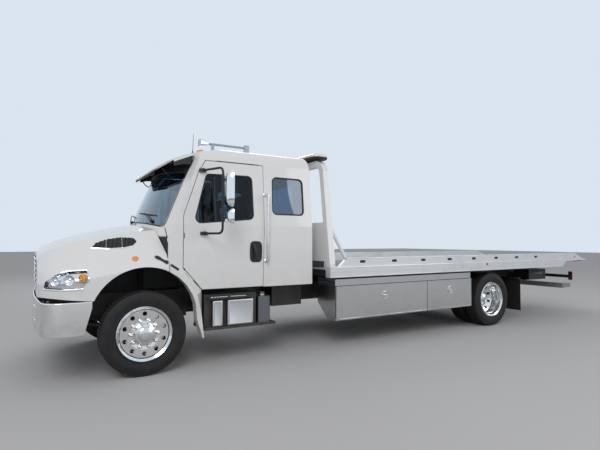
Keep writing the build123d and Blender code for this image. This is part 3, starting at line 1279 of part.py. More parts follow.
# Side rails: a light lower channel with a stepped upper rail that tapers to the tail
with BuildPart() as bed_rails:
    for side, sign in sides:
        y_low, y_high = y_band(sign, side_rail_inner_y, bed_half_width)
        side_shape([(bed_front_x, bed_rail_bottom_z), (bed_front_x, bed_rail_split_z),
                    (bed_tail_x + 20, bed_rail_split_z - 15), (bed_tail_x, bed_rail_split_z - 25),
                    (tail_front_x - 130, 1065), (tail_front_x, bed_rail_bottom_z)], y_low, y_high)
        y_low, y_high = y_band(sign, side_rail_inner_y, bed_half_width - rail_step)
        side_shape([(bed_front_x - 195, bed_rail_split_z - 20), (bed_front_x - 195, bed_rail_split_z),
                    (bed_front_x - 330, bed_rail_top_z), (bed_tail_x + 360, bed_rail_top_z),
                    (bed_tail_x + 20, bed_rail_split_z - 15)], y_low, y_high)
        y_low, y_high = y_band(sign, bed_half_width - rail_step - slot_depth, bed_half_width - rail_step)
        for row in range(slot_count):
            slot_x = bed_front_x - slot_start - row * slot_pitch
            block(slot_x - slot_length / 2, slot_x + slot_length / 2, y_low, y_high,
                  bed_rail_split_z + 48, bed_rail_split_z + 78, mode=Mode.SUBTRACT)
bed_rails.part.label = "bed_rails"
export_step(bed_rails.part, "parts/bed_rails.step")

# Headboard: a leaning arch of square tube with a lower panel and two braces
post_x = bed_front_x - 75
post_base_y = headboard_half_width - headboard_tube / 2
post_top_y = post_base_y - headboard_lean
arch_z = headboard_top_z - headboard_tube / 2
with BuildPart() as headboard:
    with BuildLine() as arch_path:
        FilletPolyline((post_x, -post_base_y, bed_rail_split_z), (post_x, -post_top_y, arch_z),
                       (post_x, post_top_y, arch_z), (post_x, post_base_y, bed_rail_split_z), radius=170)
    with BuildSketch(Plane(origin=arch_path.line @ 0, z_dir=arch_path.line % 0, x_dir=(1, 0, 0))):
        Rectangle(headboard_tube, headboard_tube)
    sweep(path=arch_path.line)
    panel_low, panel_high = 1180, 1720
    half_low, half_high = post_base_y - 20, post_base_y - 70
    cross_shape([(-half_low, panel_low), (half_low, panel_low), (half_high, panel_high),
                 (-half_high, panel_high)], post_x - 20, post_x + 20)
    for side, sign in sides:
        rod((post_x, sign * (post_base_y - 60), 1700), (post_x - 300, sign * (post_base_y - 10), 1150), 25)
        block(post_x - 45, post_x + 45, sign * post_base_y - 45, sign * post_base_y + 45,
              bed_rail_split_z, bed_rail_split_z + 30)
    block(0, 3000, -cut_y, cut_y, 0, bed_rail_split_z, mode=Mode.SUBTRACT)
    block(0, bed_front_x - 250, -cut_y, cut_y, 0, bed_rail_top_z, mode=Mode.SUBTRACT)
headboard.part.label = "headboard"
export_step(headboard.part, "parts/headboard.step")

# Light bar on the arch
with BuildPart() as light_bar:
    with BuildSketch(Plane.XY.offset(headboard_top_z + light_bar_foot)) as bar_plan:
        with Locations((post_x, 0)):
            RectangleRounded(light_bar_width, 2 * light_bar_half_length, 60)
    extrude(bar_plan.sketch, amount=light_bar_height)
    for foot_y in (-500, 500):
        block(post_x - 40, post_x + 40, foot_y - 60, foot_y + 60, headboard_top_z,
              headboard_top_z + light_bar_foot)
light_bar.part.label = "light_bar"
export_step(light_bar.part, "parts/light_bar.step")

# Winch at the front of the deck: side plates and a shaft, and the drum that turns on it
winch_shaft_radius = 30
winch_plate_y = 200
winch_x = bed_front_x - 420
winch_z = deck_top_z + 135
with BuildPart() as winch:
    for plate_y in (-winch_plate_y, winch_plate_y):
        block(winch_x - 110, winch_x + 110, plate_y - 12, plate_y + 12, deck_top_z, winch_z + 110)
    block(winch_x - 110, winch_x + 110, 212, 330, deck_top_z, winch_z + 60)
    rod((winch_x, -winch_plate_y, winch_z), (winch_x, winch_plate_y, winch_z), winch_shaft_radius)
winch.part.label = "winch"
export_step(winch.part, "parts/winch.step")
with BuildPart() as winch_drum:
    rod((winch_x, -180, winch_z), (winch_x, 180, winch_z), 55)
    for flange_y in (-180, 165):
        rod((winch_x, flange_y, winch_z), (winch_x, flange_y + 15, winch_z), 100)
    rod((winch_x, -165, winch_z), (winch_x, 165, winch_z), 80)
    rod((winch_x, -190, winch_z), (winch_x, 190, winch_z), winch_shaft_radius + pin_fit,
        mode=Mode.SUBTRACT)
winch_drum.part.label = "winch_drum"
export_step(winch_drum.part, "parts/winch_drum.step")

# Wheel lift: a hinged outer tube and the stinger that slides in it, with the cross bar
lift_bar_z = lift_hinge_z
half_tube = lift_tube / 2
with BuildPart() as lift_boom:
    block(lift_bar_x + 120, lift_hinge_x - 60, -half_tube - 25, half_tube + 25, lift_bar_z - half_tube - 15,
          lift_bar_z + half_tube + 15)
    block(lift_bar_x + 119, lift_hinge_x - 61, -half_tube - 0.3, half_tube + 0.3,
          lift_bar_z - half_tube - 0.3, lift_bar_z + half_tube + 0.3, mode=Mode.SUBTRACT)
    for arm_y in (-280, 280):
        block(lift_hinge_x - 120, lift_hinge_x + 40, arm_y - 25, arm_y + 25,
              lift_hinge_z - 45, lift_hinge_z + 45)
    block(lift_hinge_x - 120, lift_hinge_x - 60, -300, 300, lift_hinge_z - 45, lift_hinge_z + 45)
    rod((lift_hinge_x, -320, lift_hinge_z), (lift_hinge_x, 320, lift_hinge_z), lift_hinge_radius + pin_fit,
        mode=Mode.SUBTRACT)
lift_boom.part.label = "lift_boom"
export_step(lift_boom.part, "parts/lift_boom.step")
with BuildPart() as lift_bar:
    block(lift_bar_x, lift_hinge_x - 130, -half_tube, half_tube,
          lift_bar_z - half_tube, lift_bar_z + half_tube)
    block(lift_bar_x - 50, lift_bar_x + 50, -lift_bar_half_width, lift_bar_half_width,
          lift_bar_z - half_tube, lift_bar_z + half_tube)
    for side, sign in sides:
        y_low, y_high = y_band(sign, lift_bar_half_width - lift_fork_width, lift_bar_half_width)
        block(lift_bar_x - lift_fork_length, lift_bar_x, y_low, y_high, lift_bar_z - 40, lift_bar_z + 40)
        fork_y = lift_bar_half_width - lift_fork_width / 2
        rod((lift_bar_x - lift_fork_length + 55, sign * fork_y, lift_bar_z - 60),
            (lift_bar_x - lift_fork_length + 55, sign * fork_y, lift_bar_z + 60), lift_pin_bore,
            mode=Mode.SUBTRACT)
lift_bar.part.label = "lift_bar"
export_step(lift_bar.part, "parts/lift_bar.step")
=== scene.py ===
import math
import bmesh
import bpy
from mathutils import Matrix, Vector


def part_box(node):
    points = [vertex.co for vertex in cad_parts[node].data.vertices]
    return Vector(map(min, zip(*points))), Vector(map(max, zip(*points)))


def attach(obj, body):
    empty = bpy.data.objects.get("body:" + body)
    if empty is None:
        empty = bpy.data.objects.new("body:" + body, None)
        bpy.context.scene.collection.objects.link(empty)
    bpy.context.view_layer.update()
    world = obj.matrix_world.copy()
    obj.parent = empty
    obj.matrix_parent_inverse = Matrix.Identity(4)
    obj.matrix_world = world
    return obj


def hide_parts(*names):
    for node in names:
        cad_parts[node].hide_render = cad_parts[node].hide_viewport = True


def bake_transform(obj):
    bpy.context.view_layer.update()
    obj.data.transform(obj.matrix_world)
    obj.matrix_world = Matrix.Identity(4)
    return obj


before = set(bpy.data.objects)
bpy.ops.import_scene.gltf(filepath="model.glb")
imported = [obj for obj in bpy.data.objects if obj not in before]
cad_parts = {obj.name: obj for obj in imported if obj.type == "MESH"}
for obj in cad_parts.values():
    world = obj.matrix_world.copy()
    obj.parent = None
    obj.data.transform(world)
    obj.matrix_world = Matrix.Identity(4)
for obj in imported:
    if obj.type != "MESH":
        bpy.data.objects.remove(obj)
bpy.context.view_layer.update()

# Chassis frame.
# Two pressed steel channels tied by crossmembers, painted black and bolted through the web.
# Road film dulls the lower flanges, and hex bolts stand at every crossmember.


class Field:
    """A value that varies over a surface. Arithmetic on it adds Math nodes to its material."""

    def __init__(self, tree, socket):
        self.tree, self.socket = tree, socket

    def node(self, kind, settings, sockets, out=0):
        made = self.tree.nodes.new(kind)
        for name, value in settings.items():
            setattr(made, name, value)
        for name, value in sockets.items():
            if isinstance(value, Field):
                self.tree.links.new(value.socket, made.inputs[name])
            else:
                made.inputs[name].default_value = value
        return Field(self.tree, made.outputs[out])

    def math(self, operation, *values):
        return self.node("ShaderNodeMath", {"operation": operation}, dict(enumerate(values)))

    def __add__(self, other):
        return self.math("ADD", self, other)

    def __sub__(self, other):
        return self.math("SUBTRACT", self, other)

    def __rsub__(self, other):
        return self.math("SUBTRACT", other, self)

    def __mul__(self, other):
        return self.math("MULTIPLY", self, other)

    def __truediv__(self, other):
        return self.math("DIVIDE", self, other)

    def __pow__(self, other):
        return self.math("POWER", self, other)

    def __abs__(self):
        return self.math("ABSOLUTE", self)

    __radd__, __rmul__ = __add__, __mul__

    def limited(self):
        return self.math("MAXIMUM", self.math("MINIMUM", self, 1.0), 0.0)

    def between(self, low, high):
        """0 below low, 1 above high and a straight ramp in between."""
        return ((self - low) / (high - low)).limited()

    def part(self, axis):
        return self.node("ShaderNodeSeparateXYZ", {}, {0: self}, out="XYZ".index(axis))

    def noise(self, scale, detail, roughness=0.55):
        return self.node("ShaderNodeTexNoise", {}, {"Vector": self, "Scale": scale, "Detail": detail,
                                                    "Roughness": roughness})

    def stretched(self, x, y, z):
        return self.node("ShaderNodeVectorMath", {"operation": "MULTIPLY"}, {0: self, 1: (x, y, z)})

    def mix(self, low, high):
        """A colour between two others, by this value."""
        low, high = (c if isinstance(c, Field) else (*c, 1) for c in (low, high))
        return self.node("ShaderNodeMix", {"data_type": "RGBA"}, {0: self, 6: low, 7: high}, out=2)

    def bump(self, distance, strength):
        return self.node("ShaderNodeBump", {}, {"Height": self, "Distance": distance, "Strength": strength})


def finish(name, constants, varying):
    """A Principled material: constants sit on its sockets, varying adds what changes over the surface."""
    material = bpy.data.materials.new(name)
    material.use_nodes = True
    tree = material.node_tree
    shader = tree.nodes["Principled BSDF"]
    for socket, value in constants.items():
        shader.inputs[socket].default_value = value
    place = Field(tree, tree.nodes.new("ShaderNodeTexCoord").outputs["Object"])
    for socket, value in varying(place).items():
        tree.links.new(value.socket, shader.inputs[socket])
    return material


def coat_nodes(material, *names):
    """Gives CAD nodes this material."""
    for name in names:
        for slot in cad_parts[name].material_slots:
            slot.material = material


def road_film(place, top=1.1):
    """How much road dust lies on a surface: more low down, in patches."""
    low = 1 - place.part("Z").between(0.25, top)
    return (low * (0.25 + place.noise(7, 5).between(0.38, 0.7)) * 0.8).limited()


def frame_black(place):
    film = road_film(place)
    grain = place.noise(420, 2)
    return {"Base Color": film.mix((0.012, 0.012, 0.013), (0.10, 0.088, 0.072)),
            "Roughness": 0.34 + film * 0.45 + grain * 0.06,
            "Normal": (grain + place.noise(24, 4) * 2).bump(0.0006, 0.5)}


chassis_paint = finish("chassis_paint", {"Specular IOR Level": 0.5}, frame_black)
coat_nodes(chassis_paint, "frame_rails", "subframe", "bed_frame", "winch", "tilt_barrels")


def piece(name, mesh, body, material, smooth=35):
    """Closes a mesh into a named piece that rides on a body; without a body it stays free for a blend."""
    bmesh.ops.recalc_face_normals(mesh, faces=mesh.faces)
    data = bpy.data.meshes.new(name)
    mesh.to_mesh(data)
    mesh.free()
    made = bpy.data.objects.new(name, data)
    bpy.context.collection.objects.link(made)
    data.materials.append(material)
    for face in data.polygons:
        face.use_smooth = True
    data.set_sharp_from_angle(angle=math.radians(smooth))
    if body:
        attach(made, body)
    return made


def loft(mesh, rings, first=True, last=True):
    """Faces between closed rings of vertices, where a ring may be one point, and over the chosen ends."""
    steps = max(len(ring) for ring in rings)
    for low, high in zip(rings, rings[1:]):
        for k in range(steps):
            n = (k + 1) % steps
            corners = (low[k % len(low)], low[n % len(low)], high[n % len(high)], high[k % len(high)])
            corners = list(dict.fromkeys(corners))
            if len(corners) > 2:
                mesh.faces.new(corners)
    for ring, closed in ((rings[0], first), (rings[-1], last)):
        if closed:
            mesh.faces.new(ring)


def round_points(count, power_x=1.0, power_y=1.0):
    """Unit points round a circle; powers below one make it squarer."""
    around = [(math.cos(a), math.sin(a)) for a in (2 * math.pi * k / count for k in range(count))]
    return [(math.copysign(abs(c) ** power_x, c), math.copysign(abs(s) ** power_y, s)) for c, s in around]


def towards(axis, centre):
    """A matrix that takes local Z to the axis and the origin to the centre."""
    turn = Vector(axis).to_track_quat("Z", "Y").to_matrix().to_4x4()
    return Matrix.Translation(centre) @ turn


def revolve(mesh, profile, axis, centre, steps):
    """A closed band of faces round an axis from (radius, height along the axis) points."""
    turn = towards(axis, centre)
    rings = [[mesh.verts.new(turn @ Vector((radius * c, radius * s, height)))
              for c, s in round_points(steps if radius else 1)] for radius, height in profile]
    loft(mesh, rings, False, False)


def hex_bolt(mesh, centre, axis, size):
    """A washer with a chamfered hexagon head, the size across its corners."""
    washer, head = size * 0.1, size * 0.5
    revolve(mesh, [(0, 0), (size * 0.62, 0), (size * 0.62, washer), (0, washer)], axis, centre, 14)
    revolve(mesh, [(0, washer), (head, washer), (head, size * 0.42), (size * 0.42, head), (0, head)],
            axis, centre, 6)


bolts = bmesh.new()
rail_side = 0.432
for member_x in (4.86, 2.58, 1.9, 1.0, 0.1, -0.75, -1.45, -2.35, -3.25):
    for side in (1, -1):
        for step_x, z in ((-0.03, 0.735), (0.03, 0.735), (-0.03, 0.79), (0.03, 0.79)):
            hex_bolt(bolts, (member_x + step_x, side * rail_side, z), (0, side, 0), 0.02)
piece("frame_bolts", bolts, "chassis", chassis_paint)

# Axles and driveline.
# Forged and cast parts as they leave the foundry: a drop-forged front beam, the rear housing and
# leaf packs, all raw grey under a coat of black, dusty from the road.
front_axle_x, rear_axle_x = 3.955, -1.887


def cast_grey(place):
    film = road_film(place, 0.9)
    pits = place.noise(150, 4, 0.7)
    return {"Base Color": film.mix((0.022, 0.022, 0.024), (0.13, 0.11, 0.09)),
            "Roughness": 0.55 + film * 0.3 + pits * 0.1,
            "Normal": pits.bump(0.0012, 0.7)}


casting = finish("casting", {}, cast_grey)
coat_nodes(casting, "driveline", "front_axle", "rear_axle", "knuckle_left", "knuckle_right")

clamps = bmesh.new()
leg_reach, rod_radius, rod_length = 0.045, 0.009, 0.15
for axle_x, pad_z, pack_y in ((front_axle_x, 0.485, 0.396), (rear_axle_x, 0.56, 0.48)):
    for side in (1, -1):
        for x in (axle_x - 0.085, axle_x + 0.085):
            for step_y in (-leg_reach, leg_reach):
                centre = (x, side * pack_y + step_y, pad_z - 0.13)
                rod = [(0, 0), (rod_radius, 0), (rod_radius, rod_length), (0, rod_length)]
                revolve(clamps, rod, (0, 0, 1), centre, 10)
                hex_bolt(clamps, centre, (0, 0, -1), 0.026)
            bow = [Vector((x, side * pack_y - leg_reach * math.cos(a), pad_z + 0.02 + 0.016 * math.sin(a)))
                   for a in (math.pi * k / 6 for k in range(7))]
            for start, end in zip(bow, bow[1:]):
                run = end - start
                revolve(clamps, [(rod_radius, 0), (rod_radius, run.length + 0.002)], run, start, 10)
piece("spring_clamps", clamps, "chassis", casting)

# Tyres.
# Six highway tyres of black rubber with ribbed treads: four grooves run round, and fine slots cut
# the ribs and shoulders. The sidewalls have a rim flange line and two raised rings.
both_sides = (("left", 1), ("right", -1))
axles = (("front", "", front_axle_x, (1.025,), 1.104, 1.150, 0.104),
         ("rear", "s", rear_axle_x, (1.085, 0.755), 0.941, 1.030, 0.112))
wheel_ends = [(side_name, side, *axle) for axle in axles for side_name, side in both_sides]


def tyre_rubber(place):
    dust = place.noise(9, 5).between(0.45, 0.75)
    return {"Base Color": (dust * 0.55).mix((0.013, 0.013, 0.014), (0.05, 0.045, 0.04)),
            "Roughness": 0.62 + dust * 0.2,
            "Normal": place.noise(500, 2).bump(0.0004, 0.5)}


rubber = finish("tyre_rubber", {"Specular IOR Level": 0.35}, tyre_rubber)
axle_height, tread_slots = 0.455, 72
crown_radius, shoulder_drop, groove_radius, groove_slope = 0.4545, 0.006, 0.4405, 0.0015
slot_depth, slot_share, rib_floor = 0.007, 0.35, 0.447
side_profile = [(0.2885, 0.0975), (0.297, 0.107), (0.308, 0.1125), (0.310, 0.1155), (0.316, 0.1155),
                (0.318, 0.1145), (0.345, 0.1235), (0.372, 0.1255), (0.3735, 0.127), (0.3775, 0.127),
                (0.379, 0.1255), (0.400, 0.1235), (0.420, 0.1185), (0.434, 0.113)]
rib_edges = [(0.1085, 0.0625), (0.0555, 0.0215), (0.0145, -0.0145), (-0.0215, -0.0555), (-0.0625, -0.1085)]
tread = []
for edges in rib_edges:
    outer, inner = ((crown_radius - (shoulder_drop if abs(w) > 0.1 else 0), w) for w in edges)
    tread += [(groove_radius, edges[0] + groove_slope), outer,
              inner, (groove_radius, edges[1] - groove_slope)]
outline = side_profile + tread[1:-1] + [(r, -w) for r, w in reversed(side_profile)]
steps = tread_slots * 2
turns = [2 * math.pi * (k + slot_share * (k % 2)) / steps for k in range(steps)]
spokes = [(math.cos(a), math.sin(a)) for a in turns]
for side_name, side, end, plural, x, tyre_ys, _, _, _ in wheel_ends:
    tyres = bmesh.new()
    for y in tyre_ys:
        turn = towards((0, 1, 0), (x, side * y, axle_height))
        rings = [[tyres.verts.new(turn @ Vector((r * c, r * s, w))) for c, s in spokes] for r, w in outline]
        slots = []
        for low, high, (r_low, _), (r_high, _) in zip(rings, rings[1:], outline, outline[1:]):
            on_rib = min(r_low, r_high) > rib_floor
            for k in range(steps):
                n = (k + 1) % steps
                face = tyres.faces.new((low[k], low[n], high[n], high[k]))
                if on_rib and k % 2:
                    slots.append(face)
        for face in bmesh.ops.extrude_discrete_faces(tyres, faces=slots)["faces"]:
            for v in face.verts:
                v.co -= Vector((v.co.x - x, 0, v.co.z - axle_height)).normalized() * slot_depth
    name = f"{end}_tyre{plural}_{side_name}"
    made = piece(name + "_rubber", tyres, f"wheel{plural}_{end}_{side_name}", rubber, smooth=32)
    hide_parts(name)

# Wheels.
# Forged aluminium discs, machined and polished, with ten round hand holes. Chromed thimble covers
# hide the wheel nuts and a stepped hub cover is pressed over the bearing cap.


def polished_aluminium(place):
    smear = place.noise(16, 4).between(0.35, 0.75)
    spun = place.noise(260, 2)
    return {"Base Color": smear.mix((0.86, 0.86, 0.86), (0.70, 0.70, 0.69)),
            "Roughness": 0.09 + smear * 0.13 + spun * 0.03,
            "Normal": spun.bump(0.0002, 0.25)}


def chromed(place):
    haze = place.noise(11, 5).between(0.45, 0.8)
    film = road_film(place, 0.85)
    return {"Base Color": film.mix((0.88, 0.89, 0.90), (0.42, 0.40, 0.37)),
            "Roughness": 0.035 + haze * 0.07 + film * 0.3,
            "Normal": place.noise(3.2, 2).bump(0.0015, 0.3)}


bare_metal = {"Metallic": 1.0}
wheel_alloy = finish("wheel_alloy", bare_metal, polished_aluminium)
chrome = finish("chrome", bare_metal, chromed)
nut_circle, stud_circle = 0.1425, 0.088
thimble = [(0.0215, -0.004), (0.0215, 0.004), (0.018, 0.006), (0.0165, 0.034), (0.014, 0.044), (0.008, 0.049),
           (0, 0.050)]
for side_name, side, end, plural, x, _, face_y, cap_y, cap_radius in wheel_ends:
    name = f"{end}_wheel{plural}_{side_name}"
    coat_nodes(wheel_alloy, name)
    trim = bmesh.new()
    for c, s in round_points(10):
        nut = (x + nut_circle * c, side * face_y, axle_height + nut_circle * s)
        revolve(trim, thimble, (0, side, 0), nut, 14)
    cap = cap_y - face_y
    cover = [(cap_radius + 0.012, 0), (cap_radius + 0.012, 0.006), (cap_radius + 0.004, 0.010),
             (cap_radius + 0.002, cap - 0.02), (cap_radius - 0.008, cap), (0.080, cap + 0.006),
             (0.076, cap + 0.024), (0.062, cap + 0.034), (0.030, cap + 0.040), (0, cap + 0.041)]
    revolve(trim, cover, (0, side, 0), (x, side * face_y, axle_height), 48)
    for c, s in round_points(16)[1::2]:
        stud = (x + stud_circle * c, side * (cap_y - 0.001), axle_height + stud_circle * s)
        hex_bolt(trim, stud, (0, side, 0), 0.017)
    piece(name + "_covers", trim, f"wheel{plural}_{end}_{side_name}", chrome)

# Cab shell.
# Pressed steel and aluminium panels, spot welded, primed and painted gloss white with a clear
# coat. Road film greys the sills, and the roof carries a faint layer of dust.
# The last colour is black painted shade for the cowl's firewall and header.
white, film_brown, painted_shade_black = (0.80, 0.805, 0.81), (0.50, 0.47, 0.43), (0.02, 0.02, 0.02)


def white_gloss(place):
    film = road_film(place, 1.15)
    return {"Base Color": film.mix(white, film_brown),
            "Roughness": 0.26 + film * 0.3 + place.noise(1.6, 3) * 0.06,
            "Coat Weight": 1 - film * 0.7,
            "Normal": place.noise(190, 2).bump(0.00025, 0.25)}


def cowl_gloss(place):
    """The same white outside; the firewall seen through the wheel arch and the header under the visor are
    painted black as shade.
    """
    out = white_gloss(place)
    across = abs(place.part("Y"))
    # Painted shade: black where the firewall shows through the wheel arch and on the header under the visor.
    firewall_shade = (1 - across.between(1.040, 1.046)) * (1 - place.part("Z").between(1.50, 1.52))
    header_shade = (1 - across.between(0.880, 0.884)) * place.part("Z").between(2.20, 2.21)
    painted_shade = firewall_shade + header_shade
    out["Base Color"] = painted_shade.mix(out["Base Color"], painted_shade_black)
    out["Roughness"] = out["Roughness"] + painted_shade * 0.4
    out["Coat Weight"] = out["Coat Weight"] * (1 - painted_shade)
    return out


clear_coat = {"Coat Roughness": 0.04}
white_paint = finish("white_paint", clear_coat, white_gloss)
coat_nodes(finish("cowl_paint", clear_coat, cowl_gloss), "cab_cowl")
coat_nodes(white_paint, "cab_floor", "cab_roof", "cab_rear", "door_left", "door_right",
           "hood_shell", "fender_extensions", "headboard")


def sharp_loops(node, cut=0.7):
    """The closed loops of hard edges on a CAD node, each as a list of points in order."""
    mesh = bmesh.new()
    mesh.from_mesh(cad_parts[node].data)
    bmesh.ops.remove_doubles(mesh, verts=mesh.verts, dist=1e-5)
    hard = {e for e in mesh.edges if len(e.link_faces) == 2 and e.calc_face_angle(0) > cut}
    loops = []
    while hard:
        chain = list(hard.pop().verts)
        while chain[-1] is not chain[0]:
            step = next((e for e in chain[-1].link_edges if e in hard), None)
            if step is None:
                break
            hard.discard(step)
            chain.append(step.other_vert(chain[-1]))
        if len(chain) > 8 and chain[-1] is chain[0]:
            loops.append([v.co.copy() for v in chain[:-1]])
    mesh.free()
    return loops


def middle_of(points):
    return sum(points, Vector()) / len(points)


def strip_along(mesh, points, outward, half_width, height, closed=False):
    """A soft-edged strip along points, standing by height; outward is a direction or gives one per point."""
    points, count = [Vector(point) for point in points], len(points)
    section = [(-1.0, 0.0), (-0.9, 0.62), (-0.45, 1.0), (0.45, 1.0), (0.9, 0.62), (1.0, 0.0)]
    rows = []
    for k, point in enumerate(points):
        before = points[(k - 1) % count] if closed or k else point
        after = points[(k + 1) % count] if closed or k < count - 1 else point
        along = (after - before).normalized()
        out = outward(point) if callable(outward) else Vector(outward)
        across = along.cross(out).normalized()
        out = across.cross(along).normalized()
        rows.append([mesh.verts.new(point + across * half_width * a + out * height * b) for a, b in section])
    loft(mesh, rows + rows[:1] if closed else rows, not closed, not closed)


def tube_along(mesh, points, radius, sides=12):
    """A round bar through points, closed at both ends."""
    points, rings, reference = [Vector(point) for point in points], [], None
    for k, point in enumerate(points):
        before, after = points[max(k - 1, 0)], points[min(k + 1, len(points) - 1)]
        along = (after - before).normalized()
        if reference is None:
            reference = along.orthogonal().normalized()
        reference = (reference - along * reference.dot(along)).normalized()
        other = along.cross(reference)
        rings.append([mesh.verts.new(point + (reference * c + other * s) * radius)
                      for c, s in round_points(sides)])
    loft(mesh, rings)


def shares(count):
    """Even steps from 0 to 1."""
    return [k / count for k in range(count + 1)]


def rounded_path(corners, bend, steps=5):
    """Points along straight runs, with each corner rounded off by the bend distance."""
    path = [Vector(corners[0])]
    for before, corner, after in zip(corners, corners[1:], corners[2:]):
        before, corner, after = Vector(before), Vector(corner), Vector(after)
        start = corner + (before - corner).normalized() * bend
        end = corner + (after - corner).normalized() * bend
        path += [start * (1 - t) ** 2 + corner * 2 * t * (1 - t) + end * t ** 2 for t in shares(steps)]
    path.append(Vector(corners[-1]))
    return path


# Glass and its rubber.
# Tinted laminated windshield and toughened side panes; the windshield's stronger blue is painted sky
# reflection over the glass's tint.
# Each sits in a black extruded rubber gasket that laps the glass and the paint.


def shaded(name, constants, value, low, high, rough, spread, bump=None, grain=None):
    """A material led by one value, which mixes two colours and adds its spread to the roughness.
    The bump, a distance and a strength, follows the value or a fine grain of its own."""
    def varying(place):
        shade = value(place)
        out = {"Base Color": shade.mix(low, high), "Roughness": rough + shade * spread}
        if bump:
            out["Normal"] = (place.noise(grain, 2) if grain else shade).bump(*bump)
        return out
    return finish(name, constants, varying)


def streaks(place):
    return place.stretched(1, 1, 0.25).noise(5, 5).between(0.5, 0.85)


pane = {"Transmission Weight": 1.0, "IOR": 1.33}
sky_reflection_coat = {"Coat Weight": 1.0, "Coat IOR": 1.9, "Coat Roughness": 0.01, "Coat Tint": (0.80, 0.92, 1.0, 1)}
glass = shaded("tinted_glass", pane, streaks, (0.20, 0.27, 0.30), (0.26, 0.33, 0.35), 0.01, 0.05)
# The windshield's bluer colour and blue coat tint are painted sky reflection on top of the tint of the glass.
windshield_sky_glass = shaded("windshield_sky_glass", pane | sky_reflection_coat, streaks,
                          (0.17, 0.32, 0.44), (0.22, 0.37, 0.48), 0.01, 0.05)
gasket_rubber = shaded("gasket_rubber", {"Specular IOR Level": 0.4},
                       lambda place: place.noise(30, 4).between(0.4, 0.8),
                       (0.012, 0.012, 0.012), (0.028, 0.027, 0.026), 0.5, 0.2, (0.0002, 0.4), 700)
coat_nodes(windshield_sky_glass, "cab_glass")
coat_nodes(glass, "door_glass_left", "door_glass_right")
coat_nodes(gasket_rubber, "mud_flaps")


def gasket(name, node, body, facing, spread, stands):
    """Lays rubber along the outer edge of every pane of a glass node whose middle faces outwards."""
    lines = bmesh.new()
    loops = sharp_loops(node)
    for loop in loops:
        centre = middle_of(loop)
        partners = [other for other in loops if (middle_of(other) - centre).length < 0.05]
        if max(partners, key=lambda other: facing(middle_of(other))) is loop:
            normal = Vector()
            for a, b in zip(loop, loop[1:] + loop[:1]):
                normal += (a - centre).cross(b - centre)
            normal.normalize()
            if facing(centre + normal) < facing(centre):
                normal = -normal
            strip_along(lines, loop, normal, spread, stands, closed=True)
    piece(name, lines, body, gasket_rubber)


def away(point):
    """How far out from the middle of the cab a point is."""
    return (point - Vector((2.9, 0, 1.9))).length


gasket("fixed_glass_gaskets", "cab_glass", "chassis", away, 0.02, 0.011)
for side_name, side in both_sides:
    gasket(f"door_gasket_{side_name}", f"door_glass_{side_name}", f"door_{side_name}_body",
           lambda point: abs(point.y), 0.018, 0.009)

# Wipers and aerial.
# Two pantograph wipers of black painted steel with rubber blades park along the foot of the
# windshield. A thin sprung aerial stands behind the visor on the roof's left side.


def skin(node, start, direction):
    """Where a straight line first meets a CAD node and which way that surface faces, or None."""
    hit, spot, normal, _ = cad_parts[node].ray_cast(Vector(start), Vector(direction).normalized())
    return (spot, normal) if hit else None


def side_skin(node, side, x, z):
    """The same for a level line from outside the truck's left or right."""
    return skin(node, (x, side * 1.6, z), (0, -side, 0))


black_plastic = shaded("black_plastic", {}, lambda place: place.noise(40, 5).between(0.5, 0.8),
                       (0.010, 0.010, 0.010), (0.035, 0.034, 0.033), 0.38, 0.25, (0.0003, 0.5), 300)
wipers = bmesh.new()
for pivot_y, blade_near, blade_far in ((0.62, 0.66, 0.10), (-0.06, -0.04, -0.62)):
    foot, facing = skin("cab_glass", (4.5, pivot_y, 1.69), (-1, 0, 0))
    foot = foot + facing * 0.012
    blade = [skin("cab_glass", (4.5, blade_near + (blade_far - blade_near) * t, 1.76 + 0.05 * t), (-1, 0, 0))
             for t in shares(12)]
    middle, lift = blade[6]
    strip_along(wipers, [spot + normal * 0.004 for spot, normal in blade], facing, 0.006, 0.012)
    tube_along(wipers, [spot + normal * 0.02 for spot, normal in blade[2:11]], 0.004, 8)
    tube_along(wipers, [foot, foot + facing * 0.022, middle + lift * 0.035, middle + lift * 0.022], 0.006, 8)
    revolve(wipers, [(0, -0.012), (0.02, -0.012), (0.02, 0.010), (0.012, 0.02), (0, 0.02)], facing, foot, 16)
piece("wipers", wipers, "chassis", black_plastic)

aerial = bmesh.new()
root, _ = skin("cab_roof", (3.34, 0.78, 3.2), (0, 0, -1))
revolve(aerial, [(0.018, -0.004), (0.018, 0.006), (0.010, 0.022), (0.005, 0.034), (0.0035, 0.05),
                 (0.0022, 0.25), (0, 0.25)], (-0.03, 0.02, 1), root, 12)
piece("aerial", aerial, "chassis", black_plastic)

